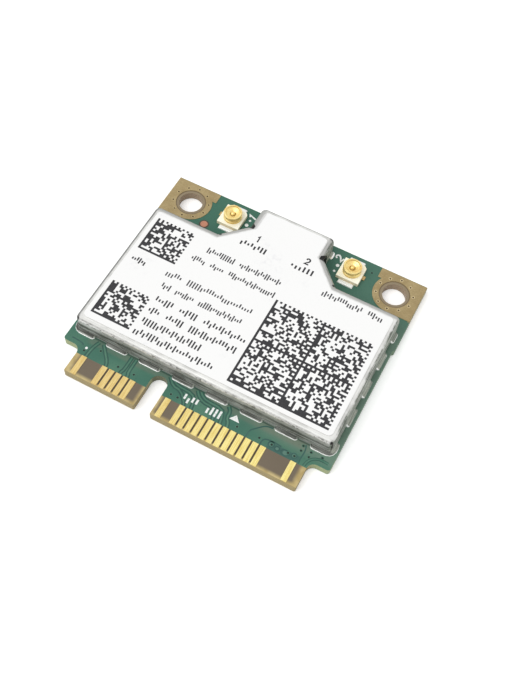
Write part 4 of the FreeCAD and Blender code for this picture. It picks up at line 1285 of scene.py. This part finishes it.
for name, width in BEVELS.items():
    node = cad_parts[name]
    weld = node.modifiers.new("weld", "WELD")
    weld.merge_threshold = WELD_REACH * MM
    rounding = node.modifiers.new("rounding", "BEVEL")
    rounding.width = width * MM
    rounding.segments = 2
    rounding.limit_method = "ANGLE"
    rounding.angle_limit = math.radians(BEVEL_ANGLE)
    print(name, "edges rounded by", width, "mm")

# %% [markdown]
# ## Floor and light
#
# The card lies on a white floor under soft light from everywhere, with a wide sun from the front left that
# gives the walls and bends their shape. Lamps could stand round it, but one world and one sun are easier to
# balance. The floor is a little brighter to the camera than to the card, as a photographer's white table
# is, and keeps its shadow.

# %% Floor
FLOOR_HALF, FLOOR_HEIGHT = 3.0, -0.00002
LIFT = 0.28

floor_finish = Finish("pale_floor", Roughness=0.9, Specular_IOR_Level=0.0, Emission_Strength=LIFT)
floor_finish.set(Base_Color=paint(252, 252, 252))
to_camera = floor_finish.node("ShaderNodeLightPath", out="Is Camera Ray")
floor_finish.set(Emission_Color=floor_finish.mix((0, 0, 0), (255, 255, 255), to_camera))
floor_mesh = bpy.data.meshes.new("floor")
corners = [(x * FLOOR_HALF, y * FLOOR_HALF, FLOOR_HEIGHT) for x, y in ((-1, -1), (1, -1), (1, 1), (-1, 1))]
floor_mesh.from_pydata(corners, [], [(0, 1, 2, 3)])
floor_mesh.materials.append(floor_finish.material)
floor = bpy.data.objects.new("floor", floor_mesh)
bpy.context.scene.collection.objects.link(floor)
print("floor is", FLOOR_HALF * 2, "m wide")

# %% [markdown]
# The light adds up to one, so a colour renders about as it is written. The world is white to the camera and
# in reflections, and dimmer as a lamp, which leaves room for the sun.

# %% World
WORLD_LAMP = 0.66

world = bpy.data.worlds.new("studio")
bpy.context.scene.world = world
world.use_nodes = True
nodes, links = world.node_tree.nodes, world.node_tree.links
nodes.clear()
path = nodes.new("ShaderNodeLightPath")
seen = path.outputs["Is Camera Ray"]
for ray in ("Is Glossy Ray", "Is Transmission Ray"):
    either = nodes.new("ShaderNodeMath")
    either.operation = "MAXIMUM"
    links.new(seen, either.inputs[0])
    links.new(path.outputs[ray], either.inputs[1])
    seen = either.outputs[0]
choice = nodes.new("ShaderNodeMixShader")
links.new(seen, choice.inputs["Fac"])

# The first background is the lamp, the second is what the camera and reflections see.
for socket, strength in ((1, WORLD_LAMP), (2, 1.0)):
    background = nodes.new("ShaderNodeBackground")
    background.inputs["Color"].default_value = (1.0, 1.0, 1.0, 1.0)
    background.inputs["Strength"].default_value = strength
    links.new(background.outputs["Background"], choice.inputs[socket])
links.new(choice.outputs["Shader"], nodes.new("ShaderNodeOutputWorld").inputs["Surface"])
print("world as a lamp:", WORLD_LAMP)

# %% Sun and view
SUN_SHARE, SUN_SPREAD = 0.36, 50
SUN_FROM = Vector((-0.5, -0.5, 1.0)).normalized()

sun = bpy.data.lights.new("sun", "SUN")
sun.energy = SUN_SHARE * math.pi / SUN_FROM.z
sun.angle = math.radians(SUN_SPREAD)
sun_object = bpy.data.objects.new("sun", sun)
sun_object.rotation_euler = SUN_FROM.to_track_quat("Z", "Y").to_euler()
bpy.context.scene.collection.objects.link(sun_object)
bpy.context.scene.view_settings.view_transform = "Standard"
print("sun strength:", round(sun.energy, 2))
